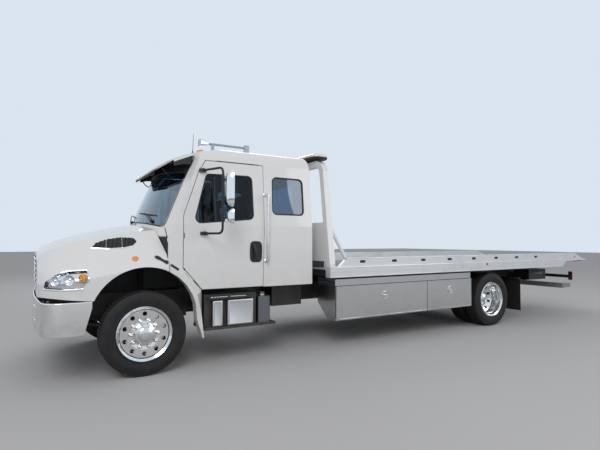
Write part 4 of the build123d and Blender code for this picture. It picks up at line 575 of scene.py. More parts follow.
# Door handles and hinges.
# Black moulded pockets with a pull lever, screwed to each door skin near its rear edge, a lock
# barrel below them, and two cast hinges on the front shut line.
for side_name, side in both_sides:
    body, door = f"door_{side_name}_body", f"door_{side_name}"
    pocket = bmesh.new()
    half_long, half_tall = 0.080, 0.128
    spot, _ = side_skin(door, side, 2.60, 1.325)
    rows = []
    for grow, stand in ((0.0, 0.0005), (0.004, 0.006), (-0.006, 0.0105), (-0.018, 0.0095), (-0.024, 0.002)):
        long, tall = half_long + grow, half_tall + grow
        rows.append([pocket.verts.new(spot + Vector((c * long, side * stand, s * tall)))
                     for c, s in round_points(40, 0.5, 0.5)])
    loft(pocket, rows, first=False)
    lever = [spot + Vector((x, side * y, z)) for x, y, z in
             ((0.028, 0.004, 0.092), (0.024, 0.016, 0.07), (0.014, 0.018, 0.0), (0.006, 0.014, -0.085))]
    strip_along(pocket, lever, (0, side, 0), 0.017, 0.008)
    revolve(pocket, [(0.016, 0), (0.016, 0.004), (0.012, 0.007), (0, 0.007)], (0, side, 0),
            spot + Vector((-0.02, side * 0.002, -0.092)), 18)
    piece(f"door_handle_{side_name}", pocket, body, black_plastic)

    hinges = bmesh.new()
    for z in (1.12, 1.52):
        spot, _ = side_skin(door, side, 3.46, z)
        revolve(hinges, [(0, -0.03), (0.0045, -0.03), (0.0045, 0.03), (0, 0.03)], (0, 0, 1),
                spot + Vector((0.052, side * 0.001, 0)), 12)
    piece(f"door_hinge_pins_{side_name}", hinges, body, black_plastic)

# Mirrors.
# A bent black steel tube on two door brackets carries a tall flat mirror over a small convex
# one, each in a chromed shell with a rolled rim round the glass.
mirror_silver = shaded("mirror_silver", bare_metal, lambda place: place.noise(20, 4).between(0.5, 0.8),
                       (0.9, 0.91, 0.92), (0.8, 0.81, 0.82), 0.01, 0.06)
mirror_y, post_x, post_radius, low_arm_z, high_arm_z = 1.35, 3.165, 0.0135, 1.545, 2.300
glass_x, half_wide, squareness = 3.066, 0.104, 0.42
for side_name, side in both_sides:
    body = f"door_{side_name}_body"
    arms = bmesh.new()
    for z, root_y in ((low_arm_z, 1.05), (high_arm_z, 0.986)):
        foot = ((3.325, 0), (3.235, 0), (3.245, 0.034), (3.262, 0.045), (3.298, 0.045), (3.315, 0.034))
        loft(arms, [[arms.verts.new((x, side * (root_y + y), level)) for x, y in foot]
                    for level in (z - 0.02, z + 0.02)])
        hex_bolt(arms, (3.28, side * (root_y + 0.025), z + 0.02), (0, 0, 1), 0.016)
    route = [(3.28, side * 1.075, low_arm_z), (post_x, side * mirror_y, low_arm_z),
             (post_x, side * mirror_y, high_arm_z), (3.28, side * 1.011, high_arm_z)]
    tube_along(arms, rounded_path(route, 0.07, 7), post_radius, 14)
    for z in (1.72, 1.95, 2.16):
        revolve(arms, [(post_radius, -0.022), (0.019, -0.02), (0.019, 0.02), (post_radius, 0.022)], (0, 0, 1),
                (post_x, side * mirror_y, z), 14)
        tube_along(arms, [(x, side * mirror_y, z) for x in (3.16, 3.135)], 0.012, 10)
    made = piece(f"mirror_arms_{side_name}", arms, body, black_plastic)
    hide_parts(f"mirror_{side_name}")

    shells, panes = bmesh.new(), bmesh.new()
    for z_low, z_high, crown, bulge in ((1.847, 2.267, 0.075, 0.003), (1.646, 1.835, 0.062, 0.012)):
        z_mid, half_high = (z_low + z_high) / 2, (z_high - z_low) / 2
        rows = []
        for depth, grow in ((0.0, -0.012), (0.0, 0.0), (-0.006, 0.0005), (0.012, 0.0), (0.35, -0.008),
                            (0.68, -0.026), (0.90, -0.052), (1.0, -0.080)):
            rows.append([shells.verts.new((glass_x + depth * crown, side * mirror_y + c * (half_wide + grow),
                                           z_mid + s * (half_high + grow)))
                         for c, s in round_points(44, squareness, squareness)])
        loft(shells, rows, first=False)
        rim = [v.co + Vector((0.004, 0, 0)) for v in rows[0]]
        centre = middle_of(rim)
        rings = []
        for t in (1.0, 0.75, 0.5, 0.25):
            dome = centre + Vector((bulge * (t * t - 1), 0, 0))
            rings.append([panes.verts.new(dome + (point - centre) * t * 0.995) for point in rim])
        loft(panes, rings, first=False)
    piece(f"mirror_shells_{side_name}", shells, body, chrome)
    piece(f"mirror_panes_{side_name}", panes, body, mirror_silver)

# Grab rails, horn and lamps.
# Polished steel rails stand off the side walls on screwed feet. A long trumpet horn lies on the
# roof on two posts, and five amber lamps line the roof's front edge.
stainless_bar = finish("stainless_bar", bare_metal, polished_aluminium)
coat_nodes(stainless_bar, "grab_rails", "tilt_rods")
feet = bmesh.new()
for side in (1, -1):
    for z, wall_y in ((1.205, 1.050), (2.050, 1.009)):
        revolve(feet, [(0, 0), (0.026, 0), (0.026, 0.004), (0.019, 0.009), (0.017, 0.034), (0, 0.034)],
                (0, side, 0), (2.455, side * wall_y, z), 20)
piece("grab_rail_feet", feet, "chassis", stainless_bar)
coat_nodes(shaded("horn_metal", bare_metal, lambda place: place.noise(18, 3),
                  (0.50, 0.53, 0.56), (0.40, 0.43, 0.46), 0.16, 0.1), "air_horn")


def amber_lens(name, coat):
    return shaded(name, {"Coat Weight": coat}, lambda place: place.stretched(1, 1, 0).noise(160, 1),
                  (0.78, 0.23, 0.02), (0.95, 0.40, 0.04), 0.12, 0.1, (0.001, 0.6))


amber = amber_lens("amber_lens", 0.6)


def red_or_amber(place):
    """The roof lamps are amber and the tail lamps, far behind, red."""
    front = place.part("X").between(0.0, 0.1)
    ribs = place.stretched(0, 1, 1).noise(140, 1)
    return {"Base Color": front.mix((0.60, 0.012, 0.012), (0.85, 0.30, 0.03)),
            "Roughness": 0.12 + ribs * 0.12,
            "Normal": ribs.bump(0.001, 0.6)}


coat_nodes(finish("lamp_lenses", {"Coat Weight": 0.5}, red_or_amber), "lamps")

# Hood trim.
# The one-piece moulded hood carries a chromed grille, black louvred vents with a chrome sill on
# each side, an amber repeater above each arch and a rubber latch on each rear edge.


def grille_metal(place):
    """Chrome at the nose and black moulded louvres in the side vents."""
    nose = place.part("X").between(4.60, 4.62)
    haze = place.noise(14, 4).between(0.45, 0.8)
    return {"Base Color": nose.mix((0.014, 0.014, 0.015), (0.88, 0.89, 0.90)),
            "Metallic": nose,
            "Roughness": 0.42 - nose * 0.36 + haze * 0.08,
            "Normal": haze.bump(0.0004, 0.3)}


coat_nodes(finish("grille_metal", {}, grille_metal), "grilles")
coat_nodes(chrome, "front_bumper")
vent_front, vent_length, slat_pitch, slat_lean = 4.474, 0.44, 0.042, 0.03
vent_low = [(vent_front, 1.382), (4.290, 1.373), (4.140, 1.384), (4.050, 1.405), (4.014, 1.448)]
vent_high = [(vent_front, 1.382), (4.412, 1.435), (4.310, 1.472), (4.180, 1.493), (4.045, 1.489),
             (4.014, 1.452)]


def height_at(line, x):
    """Height of a drawn line at a place along the truck."""
    for (x1, z1), (x2, z2) in zip(line, line[1:]):
        if x2 <= x <= x1:
            return z1 + (z2 - z1) * (x1 - x) / (x1 - x2)
    return line[-1][1]


def vent_point(side, x, z):
    """A point on the side vent, wherever hood or louvre skin is met first."""
    for drop in (0, -0.003, 0.003, -0.008, 0.008):
        found = [side_skin(node, side, x, z + drop) for node in ("grilles", "hood_shell")]
        found = [f[0] for f in found if f and side * f[0].y > 0]
        if found:
            return max(found, key=lambda spot: side * spot.y)


for side_name, side in both_sides:
    louvres, sill = bmesh.new(), bmesh.new()
    for k in range(10):
        x = vent_front - 0.029 - k * slat_pitch
        low, high = height_at(vent_low, x) + 0.003, height_at(vent_high, x - slat_lean) - 0.003
        if high - low > 0.008:
            slat = [vent_point(side, x - slat_lean * t, low + (high - low) * t) - Vector((0, side * 0.002, 0))
                    for t in shares(5)]
            strip_along(louvres, slat, (-0.35, side, 0.15), 0.012, 0.010)
    for x in (4.33, 4.17):
        low, high = height_at(vent_low, x), height_at(vent_high, x)
        strip_along(sill, [vent_point(side, x - 0.01 * t, low + (high - low) * t) for t in shares(4)],
                    (0, side, 0.2), 0.003, 0.009)
    edge = [vent_point(side, x, height_at(vent_low, x) - 0.004)
            for x in (vent_front - vent_length * t for t in shares(24))]
    strip_along(sill, edge, (0, side, 0.25), 0.007, 0.009)
    piece(f"vent_louvres_{side_name}", louvres, "hood", black_plastic)
    piece(f"vent_sill_{side_name}", sill, "hood", chrome)

    repeater = bmesh.new()
    spot, normal = side_skin("hood_shell", side, 4.055, 1.262)
    revolve(repeater, [(0.034, -0.004), (0.034, 0.004), (0.028, 0.012), (0.014, 0.017), (0, 0.018)], normal,
            spot, 28)
    piece(f"side_repeater_{side_name}", repeater, "hood", amber)

    latch = bmesh.new()
    strap = [side_skin("hood_shell", side, 3.845 - 0.125 * t, 1.283 - 0.075 * t) for t in shares(8)]
    facing = strap[-1][1]
    strap = [spot + normal * 0.001 for spot, normal in strap]
    strip_along(latch, strap, facing, 0.016, 0.014)
    for grip in (strap[1:4], strap[6:9]):
        strip_along(latch, grip, facing, 0.021, 0.021)
    piece(f"hood_latch_{side_name}", latch, "hood", gasket_rubber)

    keeper = bmesh.new()
    found = [side_skin("fender_extensions", side, 3.690 - 0.085 * t, 1.187 - 0.055 * t) for t in shares(5)]
    found = [f for f in found if f]
    strip_along(keeper, [spot + normal * 0.001 for spot, normal in found], found[-1][1], 0.017, 0.015)
    piece(f"latch_keeper_{side_name}", keeper, "chassis", gasket_rubber)

# Shut lines.
# A black rubber seal shows along the bowed rear edge of the hood, and a black bar splits each
# door window into a fixed vent pane and the pane that winds down.
seal = bmesh.new()
hood_rear_x, bow, half, seal_mid_z, inset = 3.913, 0.200, 1.050, 1.15, 0.008
edge_radius = (bow ** 2 + half ** 2) / (2 * bow)
line = []
for t in shares(48):
    c, s = math.cos(math.pi * t), math.sin(math.pi * t)
    x = hood_rear_x - inset - edge_radius + math.sqrt(edge_radius ** 2 - min(abs(1.25 * c), half) ** 2)
    found = skin("cab_cowl", (x, c * 1.6, seal_mid_z + s * 1.6), (0, -c, -s))
    if found and found[0].z > 1.16:
        line.append(found[0])
strip_along(seal, line, lambda point: point - Vector((point.x, 0, seal_mid_z)), 0.007, 0.003)
piece("hood_seal", seal, "chassis", gasket_rubber)
for side_name, side in both_sides:
    bar = bmesh.new()
    spots = [side_skin(f"door_glass_{side_name}", side, 3.13, 1.70 + 0.55 * t)[0] for t in shares(6)]
    strip_along(bar, spots, (0, side, 0), 0.011, 0.006)
    piece(f"vent_bar_{side_name}", bar, f"door_{side_name}_body", gasket_rubber)

# Headlamps.
# Each lamp is a clear moulded lens over a silvered bowl with two reflectors and an amber turn
# lamp at its rear end. A chrome bead follows the lens and is thickest along the bottom.
clear_lens = shaded("clear_lens", {"Transmission Weight": 1.0, "IOR": 1.25},
                    lambda place: place.noise(12, 4).between(0.5, 0.8),
                    (0.95, 0.96, 0.97), (0.90, 0.91, 0.92), 0.01, 0.05)
turn_amber = amber_lens("turn_lamp", 0.4)
bowl_depth = 0.034
for side_name, side in both_sides:
    source = bmesh.new()
    source.from_mesh(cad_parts["headlamps"].data)
    bmesh.ops.remove_doubles(source, verts=source.verts, dist=1e-5)
    lens, bowl, bead, turn_lamp = bmesh.new(), bmesh.new(), bmesh.new(), bmesh.new()
    inwards = Vector((-0.45, -side * 0.89, 0)).normalized()
    for face in source.faces:
        middle = face.calc_center_median()
        out = face.normal
        covered = skin("headlamps", middle + out * 0.0005, out)
        if side * middle.y > 0 and (side * out.y > 0.25 or out.x > 0.8) and not covered:
            lens.faces.new([lens.verts.new(v.co) for v in face.verts])
            bowl.faces.new([bowl.verts.new(v.co + inwards * bowl_depth) for v in face.verts])
    source.free()
    for mesh in (lens, bowl):
        bmesh.ops.remove_doubles(mesh, verts=mesh.verts, dist=1e-5)
    border = [e for e in lens.edges if len(e.link_faces) == 1]
    walk = [border[0].verts[0]]
    left_over = set(border)
    while left_over:
        edge = next((e for e in walk[-1].link_edges if e in left_over), None)
        if edge is None:
            break
        left_over.discard(edge)
        walk.append(edge.other_vert(walk[-1]))
    outline = [v.co.copy() for v in walk[:-1]]
    strip_along(bead, outline, -inwards, 0.006, 0.003, closed=True)
    along = sorted((point for point in outline if point.z < 1.0), key=lambda point: point.x)
    strip_along(bead, along[::2], -inwards, 0.010, 0.004)
    rim_edges = [e for e in bowl.edges if len(e.link_faces) == 1]
    for part in bmesh.ops.extrude_edge_only(bowl, edges=rim_edges)["geom"]:
        if isinstance(part, bmesh.types.BMVert):
            part.co -= inwards * (bowl_depth - 0.002)
    for x, z, r, mesh in ((4.825, 1.052, 0.052, bowl), (4.700, 1.062, 0.056, bowl),
                          (4.580, 1.075, 0.046, turn_lamp)):
        spot, _ = side_skin("headlamps", side, x, z)
        if mesh is bowl:
            cup = [(r, 0.022), (r - 0.003, 0.024), (r * 0.82, 0.012), (r * 0.5, 0.004), (0.012, 0.003),
                   (0.012, 0.012), (0.008, 0.018), (0, 0.020)]
        else:
            cup = [(r, 0.002), (r, 0.010), (r * 0.85, 0.019), (r * 0.4, 0.024), (0, 0.025)]
        revolve(mesh, cup, -inwards, spot + inwards * (bowl_depth - 0.002), 28)
    bmesh.ops.solidify(lens, geom=lens.faces[:], thickness=0.003)
    made = piece(f"headlamp_lens_{side_name}", lens, "hood", clear_lens, smooth=50)
    piece(f"headlamp_bowl_{side_name}", bowl, "hood", mirror_silver)
    piece(f"headlamp_bead_{side_name}", bead, "hood", chrome)
    piece(f"turn_lamp_{side_name}", turn_lamp, "hood", turn_amber)
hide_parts("headlamps")

# Cab interior.
# Grey grained plastic dash with a gauge hood, a moulded steering wheel rim, and foam seats in
# woven cloth on steel pedestals, with a bench across the back of the extended cab.


def grained_plastic(place):
    grain = place.noise(600, 2)
    return {"Base Color": place.noise(2.5, 3).mix((0.050, 0.051, 0.054), (0.075, 0.076, 0.080)),
            "Roughness": 0.58 + grain * 0.12,
            "Normal": grain.bump(0.0004, 0.6)}


def woven_cloth(place):
    warp = place.stretched(1, 1, 0.05).noise(900, 1)
    weft = place.stretched(1, 0.05, 1).noise(900, 1)
    shade = warp * 0.5 + place.noise(6, 3) * 0.5
    return {"Base Color": shade.mix((0.030, 0.032, 0.038), (0.085, 0.088, 0.10)),
            "Roughness": 0.86 + warp * 0.1,
            "Normal": (warp + weft).bump(0.0008, 0.8)}


dash_plastic = finish("dash_plastic", {}, grained_plastic)
seat_cloth = finish("seat_cloth", {"Sheen Weight": 0.1}, woven_cloth)
coat_nodes(dash_plastic, "dashboard")


def cushion(name, centre, size, lean, crown):
    """A foam cushion: crowned faces, sides drawn in between the corners, and a piped edge."""
    mesh = bmesh.new()
    bmesh.ops.create_cube(mesh, size=2.0)
    bmesh.ops.subdivide_edges(mesh, edges=mesh.edges[:], cuts=14, use_grid_fill=True)
    turn = Matrix.Translation(centre) @ Matrix.Rotation(math.radians(lean), 4, "Y")
    half = Vector(size) / 2
    for v in mesh.verts:
        u, w, h = v.co
        round_off = 1 - 0.10 * (abs(u) ** 6 + abs(w) ** 6)
        swell = (1 + crown * (1 - u * u) * (1 - w * w)) / (1 + crown)
        draw = (1 - 0.05 * (1 - h * h) * (0.5 + 0.5 * math.cos(math.pi * u * w))) * (1 - 0.04 * h ** 8)
        channel = 0.06 * math.exp(-((abs(w) - 0.62) / 0.05) ** 2) if h > 0.6 else 0
        v.co = turn @ (half * Vector((u * draw, w * draw, h * swell * round_off - channel)))
    made = piece(name, mesh, "chassis", seat_cloth, smooth=70)
    return made


seat_y, back_lean, foam_corner = 0.48, -79.5, 0.14
for place_name, y in (("driver", seat_y), ("passenger", -seat_y)):
    first = cushion(f"{place_name}_cushion", (2.81, y, 1.335), (0.49, 0.49, 0.145), 0, foam_corner)
    cushion(f"{place_name}_back", (2.585, y, 1.735), (0.64, 0.47, 0.12), back_lean, foam_corner)
    cushion(f"{place_name}_headrest", (2.52, y, 2.02), (0.12, 0.26, 0.085), back_lean, 0.1)
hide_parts("seats")
cushion("bench_cushion", (2.09, 0, 1.26), (0.41, 1.78, 0.13), 0, 0.08)

pedestals = bmesh.new()
square = ((1, 1), (-1, 1), (-1, -1), (1, -1))
for x, y, half_x, half_y, foot, top in ((2.80, seat_y, 0.20, 0.20, 0.958, 1.262),
                                        (2.80, -seat_y, 0.20, 0.20, 0.958, 1.262),
                                        (2.09, 0, 0.20, 0.88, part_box("cab_floor")[1].z - 0.001, 1.20)):
    levels = ((foot, 0.0), (foot + 0.04, 0.0), (foot + 0.05, -0.012), (top - 0.03, -0.02), (top, -0.004))
    loft(pedestals, [[pedestals.verts.new((x + sx * (half_x + grow), y + sy * (half_y + grow), z))
                      for sx, sy in square] for z, grow in levels])
piece("seat_pedestals", pedestals, "chassis", dash_plastic)

# Sun visor.
# A moulded white visor over the windshield on three steel stays; its underside is painted matt black as
# shade.
# Its bowed front edge is rolled to a lip.
visor_bow, visor_front, lip_half = 2.3, 3.805, 0.85
visor_root_x, visor_root_z, visor_slope, lip_depth = 3.5, 2.474, 0.42, 0.042


def visor_white_and_shade(place):
    tree = place.tree
    # Faces that point down get black painted shade; the rest is white paint.
    facing = Field(tree, tree.nodes.new("ShaderNodeTexCoord").outputs["Normal"]).part("Z")
    edge = visor_root_z - (place.part("X") - visor_root_x) * visor_slope - lip_depth
    top = facing.between(-0.15, -0.05) * (place.part("Z") - edge).between(0.0, 0.004)
    peel = place.noise(190, 2)
    return {"Base Color": top.mix((0.018, 0.018, 0.019), white),
            "Roughness": 0.55 - top * 0.27 + peel * 0.05,
            "Coat Weight": top,
            "Normal": peel.bump(0.00025, 0.25)}


coat_nodes(finish("visor_paint_and_shade", clear_coat, visor_white_and_shade), "sun_visor")
stays = bmesh.new()
for y in (-0.6, 0.0, 0.6):
    spot, normal = skin("cab_glass", (4.4, y, 2.24), (-1, 0, 0))
    under, _ = skin("sun_visor", (3.68, y, 2.0), (0, 0, 1))
    stay = [spot - normal * 0.004, spot + normal * 0.05, under + Vector((0, 0, 0.004))]
    tube_along(stays, rounded_path(stay, 0.02, 4), 0.007, 8)
    hex_bolt(stays, spot, normal, 0.022)
piece("visor_stays", stays, "chassis", black_plastic)
lip = bmesh.new()
edge_line = []
for t in shares(44):
    y = (2 * t - 1) * lip_half
    front = visor_front - visor_bow + math.sqrt(visor_bow ** 2 - y ** 2)
    spot, _ = skin("sun_visor", (front - 0.014, y, 3.0), (0, 0, -1))
    edge_line.append(spot + Vector((0.002, 0, -0.014)))
tube_along(lip, edge_line, 0.0165, 14)
piece("visor_lip", lip, "chassis", white_paint)

# Roof and tail lamps.
# Teardrop amber clearance lamps on rubber pads along the roof, and sealed red tail lamps in black
# housings at the ends of the lamp bar.
pads, lenses = bmesh.new(), bmesh.new()
lamp_x, tail_reach, nose_reach, lamp_half = 3.255, 0.085, 0.045, 0.033
for y in (-0.76, -0.25, 0.0, 0.25, 0.76):
    for mesh, scale, sink, flatness in ((pads, 1.0, 0.004, 0.35), (lenses, 0.86, -0.004, 1.0)):
        rings = []
        for height, grow in ((0.0, 1.0), (0.010, 0.98), (0.024, 0.86), (0.036, 0.60), (0.041, 0.25)):
            ring = []
            for c, s in round_points(24):
                reach, taper = (tail_reach, 1 + 0.25 * c) if c < 0 else (nose_reach, 1)
                spread = Vector((c * reach, s * lamp_half * taper, 0)) * grow * scale
                spot, _ = skin("cab_roof", Vector((lamp_x, y, 3.2)) + spread, (0, 0, -1))
                ring.append(mesh.verts.new(spot + Vector((0, 0, height * flatness - sink))))
            rings.append(ring)
        loft(mesh, rings)
piece("roof_lamp_pads", pads, "chassis", gasket_rubber)
made = piece("roof_lamp_lenses", lenses, "chassis", amber)
tail_red = shaded("tail_red", {"Coat Weight": 0.6}, lambda place: place.stretched(0, 1, 1).noise(140, 1),
                  (0.55, 0.006, 0.006), (0.75, 0.02, 0.016), 0.10, 0.12, (0.001, 0.6))


def rounded_square(half_x, half_y, corner, shrink, steps):
    """Points round a rectangle with rounded corners, drawn in by shrink."""
    points = []
    for quarter, (sx, sy) in enumerate(square):
        for t in shares(steps):
            a = math.pi / 2 * (quarter + t)
            points.append((sx * (half_x - corner) + math.cos(a) * (corner - shrink),
                           sy * (half_y - corner) + math.sin(a) * (corner - shrink)))
    return points


def rounded_slab(mesh, low, high, corner, edge):
    """A block with rounded upright corners and a small chamfer."""
    middle, half = (Vector(low) + Vector(high)) / 2, (Vector(high) - Vector(low)) / 2
    levels = ((low[2], edge), (low[2] + edge, 0), (high[2] - edge, 0), (high[2], edge))
    loft(mesh, [[mesh.verts.new((middle.x + x, middle.y + y, z))
                 for x, y in rounded_square(half.x, half.y, corner, shrink, 4)] for z, shrink in levels])


housings, reds = bmesh.new(), bmesh.new()
for side in (1, -1):
    y_low, y_high = sorted((side * 1.112, side * 1.188))
    rounded_slab(housings, (-4.534, y_low, 0.674), (-4.521, y_high, 0.848), 0.004, 0.002)
    rounded_slab(reds, (-4.559, y_low + 0.003, 0.677), (-4.530, y_high - 0.003, 0.845), 0.009, 0.004)
    for z in (0.718, 0.761, 0.804):
        rib = [(-4.5585, side * 1.15 + step, z) for step in (-0.028, 0, 0.028)]
        strip_along(reds, rib, (-1, 0, 0), 0.002, 0.0012)
piece("tail_lamp_housings", housings, "chassis", black_plastic)
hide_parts("lamps")
piece("tail_lamp_lenses", reds, "chassis", tail_red)

# Grille and bumper trim.
# A chromed surround frames the grille and six blades cross it. The bumper is bolted through its
# face with round-headed chrome bolts.
surround = bmesh.new()
grille_x, grille_foot, grille_top = 4.962, 0.925, 1.300
half_frame = [(0.30, grille_top), (0.405, 1.297), (0.425, 1.23), (0.395, 0.99), (0.370, 0.928),
              (0.30, grille_foot)]
corners = [(-0.30, grille_top)] + half_frame + [(-y, z) for y, z in reversed(half_frame)]
frame_line = rounded_path([(grille_x, y, z) for y, z in corners], 0.02, 3)
strip_along(surround, frame_line[:-1], (1, 0, 0), 0.014, 0.006, closed=True)
for t in shares(7)[1:7]:
    z, reach = grille_foot + (grille_top - grille_foot) * t, 0.372 + 0.05 * t
    blade = [(grille_x - 0.002 + 0.003 * math.cos(math.pi * out / 2), reach * out, z)
             for out in (2 * k - 1 for k in shares(16))]
    strip_along(surround, blade, (0.8, 0, 0.35), 0.012, 0.016)
piece("grille_surround", surround, "hood", chrome)

fixings = bmesh.new()
for side in (1, -1):
    for y, z in ((0.36, 0.60), (0.36, 0.74), (0.52, 0.60), (0.52, 0.74)):
        spot, normal = skin("front_bumper", (5.4, side * y, z), (-1, 0, 0))
        revolve(fixings, [(0.017, 0), (0.016, 0.003), (0.010, 0.005), (0, 0.006)], normal, spot, 20)
piece("bumper_bolts", fixings, "chassis", chrome)

# Steps, tanks and boxes.
# A black step box with two punched aluminium treads under the left door, a small alloy fluid
# tank, a strapped polished fuel tank on the right, and black battery boxes behind the steps.
bright_alloy = (0.74, 0.745, 0.75)


def brushed_alloy(place):
    lines = place.stretched(1.5, 60, 60).noise(12, 3)
    film = road_film(place, 0.9)
    return {"Base Color": (lines * 0.6 + film * 0.4).mix(bright_alloy, (0.50, 0.49, 0.47)),
            "Roughness": 0.24 + lines * 0.14 + film * 0.2,
            "Normal": lines.bump(0.0004, 0.3)}


def tank_metal(place):
    """The fuel tank on the right is polished; the fluid tank on the left is grey and shaded."""
    out = brushed_alloy(place)
    left = place.part("Y").between(0.0, 0.05)
    lines = place.stretched(1.5, 60, 60).noise(12, 3)
    out["Base Color"] = left.mix(lines.mix(bright_alloy, (0.60, 0.60, 0.60)), (0.20, 0.21, 0.22))
    return out


alloy = finish("brushed_alloy", bare_metal, brushed_alloy)
coat_nodes(finish("tank_metal", bare_metal, tank_metal), "tanks")
coat_nodes(chassis_paint, "step_box")
treads, cups = bmesh.new(), bmesh.new()
tread_y, tread_mid, tread_top, tread_foot = 1.101, 0.60, 0.749, 0.452
for x_low, x_high in ((3.060, 3.180), (2.660, 2.992)):
    corners = ((x_low, tread_mid), (x_low, tread_top), (x_high, tread_top), (x_high, tread_foot),
               (x_low, tread_foot), (x_low, tread_mid))
    rounded = rounded_path([(x, tread_y, z) for x, z in corners], 0.014, 4)[:-1]
    centre = Vector(((x_low + x_high) / 2, tread_y, tread_mid))
    rings = []
    for shrink, stand in ((0.0, 0.0), (0.0, 0.004), (0.010, 0.008), (0.018, 0.0085), (0.024, 0.0055)):
        rings.append([])
        for point in rounded:
            x, _, z = (math.copysign(min(shrink, abs(gap)), gap) for gap in centre - point)
            rings[-1].append(treads.verts.new(point + Vector((x, stand, z))))
    loft(treads, rings, first=False)
for x_low, x_high in ((2.74, 2.95), (2.98, 3.20)):
    for row in range(2):
        for k in range(6):
            x = x_low + (x_high - x_low) * (k + 0.5) / 6
            revolve(treads, [(0.012, 0), (0.010, 0.004), (0.006, 0.0045), (0.005, 0.001)], (0, 0, 1),
                    (x, 1.088 - 0.035 * row, 0.79), 12)
piece("step_treads", treads, "chassis", alloy)
revolve(cups, [(0.041, 0.0), (0.041, 0.012), (0.037, 0.016), (0.037, 0.034), (0.030, 0.038), (0, 0.040)],
        (0, 0, 1), (2.493, 1.0, 0.775), 24)
revolve(cups, [(0.048, 0.0), (0.048, 0.012), (0.044, 0.016), (0.044, 0.030), (0.034, 0.034), (0, 0.036)],
        (0, 0, 1), (2.42, -0.94, 0.815), 24)
piece("filler_caps", cups, "chassis", chrome)

# Toolboxes.
# Folded stainless steel boxes hung from the frame. Each bay has a drop-down door with a
# piano hinge along the bottom, a dished T-handle latch and a rubber seal round its edge.


def brushed_sheet_and_road_reflection(place):
    lines = place.stretched(0.5, 8, 8).noise(9, 4)
    # Darker and browner low down, in patches: road dust and a painted reflection of the road in the polished
    # steel, which leaves the upper part brighter.
    low = 1 - place.part("Z").between(0.38, 0.75)
    film = low * place.stretched(1, 1, 0.4).noise(2.2, 3).between(0.3, 0.75)
    return {"Base Color": (lines * 0.35 + film * 0.65).mix((0.66, 0.665, 0.67), (0.40, 0.385, 0.36)),
            "Roughness": 0.17 + lines * 0.10 + film * 0.2,
            "Normal": place.stretched(1.2, 1, 3).noise(1.1, 2).bump(0.004, 0.3)}


def window_path(x_low, x_high, y, z_low, z_high, bend, steps):
    """A rounded rectangle standing along X, drawn from the middle of its top edge."""
    middle = (x_low + x_high) / 2
    corners = ((middle, z_high), (x_high, z_high), (x_high, z_low), (x_low, z_low), (x_low, z_high),
               (middle, z_high))
    return rounded_path([(x, y, z) for x, z in corners], bend, steps)


stainless = finish("stainless_sheet", bare_metal, brushed_sheet_and_road_reflection)
coat_nodes(stainless, "toolbox_left", "toolbox_right")
knuckle_pitch = 0.06
for side_name, side in both_sides:
    for bay in ("front", "rear"):
        node = f"toolbox_door_{side_name}_{bay}"
        body = f"box_door_{side_name}_{bay}"
        coat_nodes(stainless, node)
        low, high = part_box(node)
        hardware = bmesh.new()
        x, z = (low.x + high.x) / 2, (low.z + high.z) / 2 + 0.06
        revolve(hardware, [(0.060, -0.003), (0.060, 0.002), (0.054, 0.0045), (0.050, 0.002), (0.046, -0.001),
                           (0.018, -0.001), (0.016, 0.0035), (0, 0.0035)],
                (0, side, 0), (x, side * 1.220, z), 36)
        grip = [(x + reach, side * 1.2215, z) for reach in (-0.038, 0.038)]
        strip_along(hardware, grip, (0, side, 0), 0.007, 0.004)
        for k in range(int((high.x - low.x) / knuckle_pitch)):
            x = low.x + 0.01 + knuckle_pitch * k
            tube_along(hardware, [(end, side * 1.2205, low.z + 0.004) for end in (x, x + 0.054)], 0.0045, 8)
        piece(f"{node}_hardware", hardware, body, stainless)
        seal = bmesh.new()
        ring = window_path(low.x - 0.002, high.x + 0.002, side * 1.2065, low.z + 0.02, high.z + 0.003,
                           0.012, 4)
        tube_along(seal, ring, 0.0028, 6)
        piece(f"{node}_seal", seal, body, gasket_rubber)

# Mud flaps and rear body.
# Ribbed black rubber flaps bolted to steel arms, and moulded black control boxes with a row of
# valve levers for the bed on each side.
flaps, levers, knobs = bmesh.new(), bmesh.new(), bmesh.new()
flap_x = -2.700
for side in (1, -1):
    for k in range(8):
        y = side * (0.665 + 0.07 * k)
        for face_x, out in ((flap_x, -1), (flap_x + 0.008, 1)):
            strip_along(flaps, [(face_x, y, z) for z in (0.23, 0.72)], (out, 0, 0), 0.010, 0.004)
    for k in range(5):
        hex_bolt(flaps, (flap_x, side * (0.68 + 0.12 * k), 0.782), (-1, 0, 0), 0.022)
    for k in range(5):
        lever = [(-3.60 - 0.07 * k, side * y, z) for y, z in ((0.895, 0.80), (0.93, 0.81), (0.955, 0.87))]
        tube_along(levers, lever, 0.005, 8)
        revolve(knobs, [(0.006, -0.012), (0.013, -0.006), (0.014, 0.004), (0.009, 0.012), (0, 0.014)],
                (0, side * 0.38, 0.92), lever[-1], 14)
piece("flap_ribs", flaps, "chassis", gasket_rubber)
coat_nodes(black_plastic, "rear_body")
piece("valve_levers", levers, "chassis", stainless_bar)
piece("lever_knobs", knobs, "chassis", black_plastic)

# Bed.
# Welded steel frame and a rolled tread-plate deck, painted grey and worn by tyres, between
# extruded aluminium side rails with lashing slots and long lips.


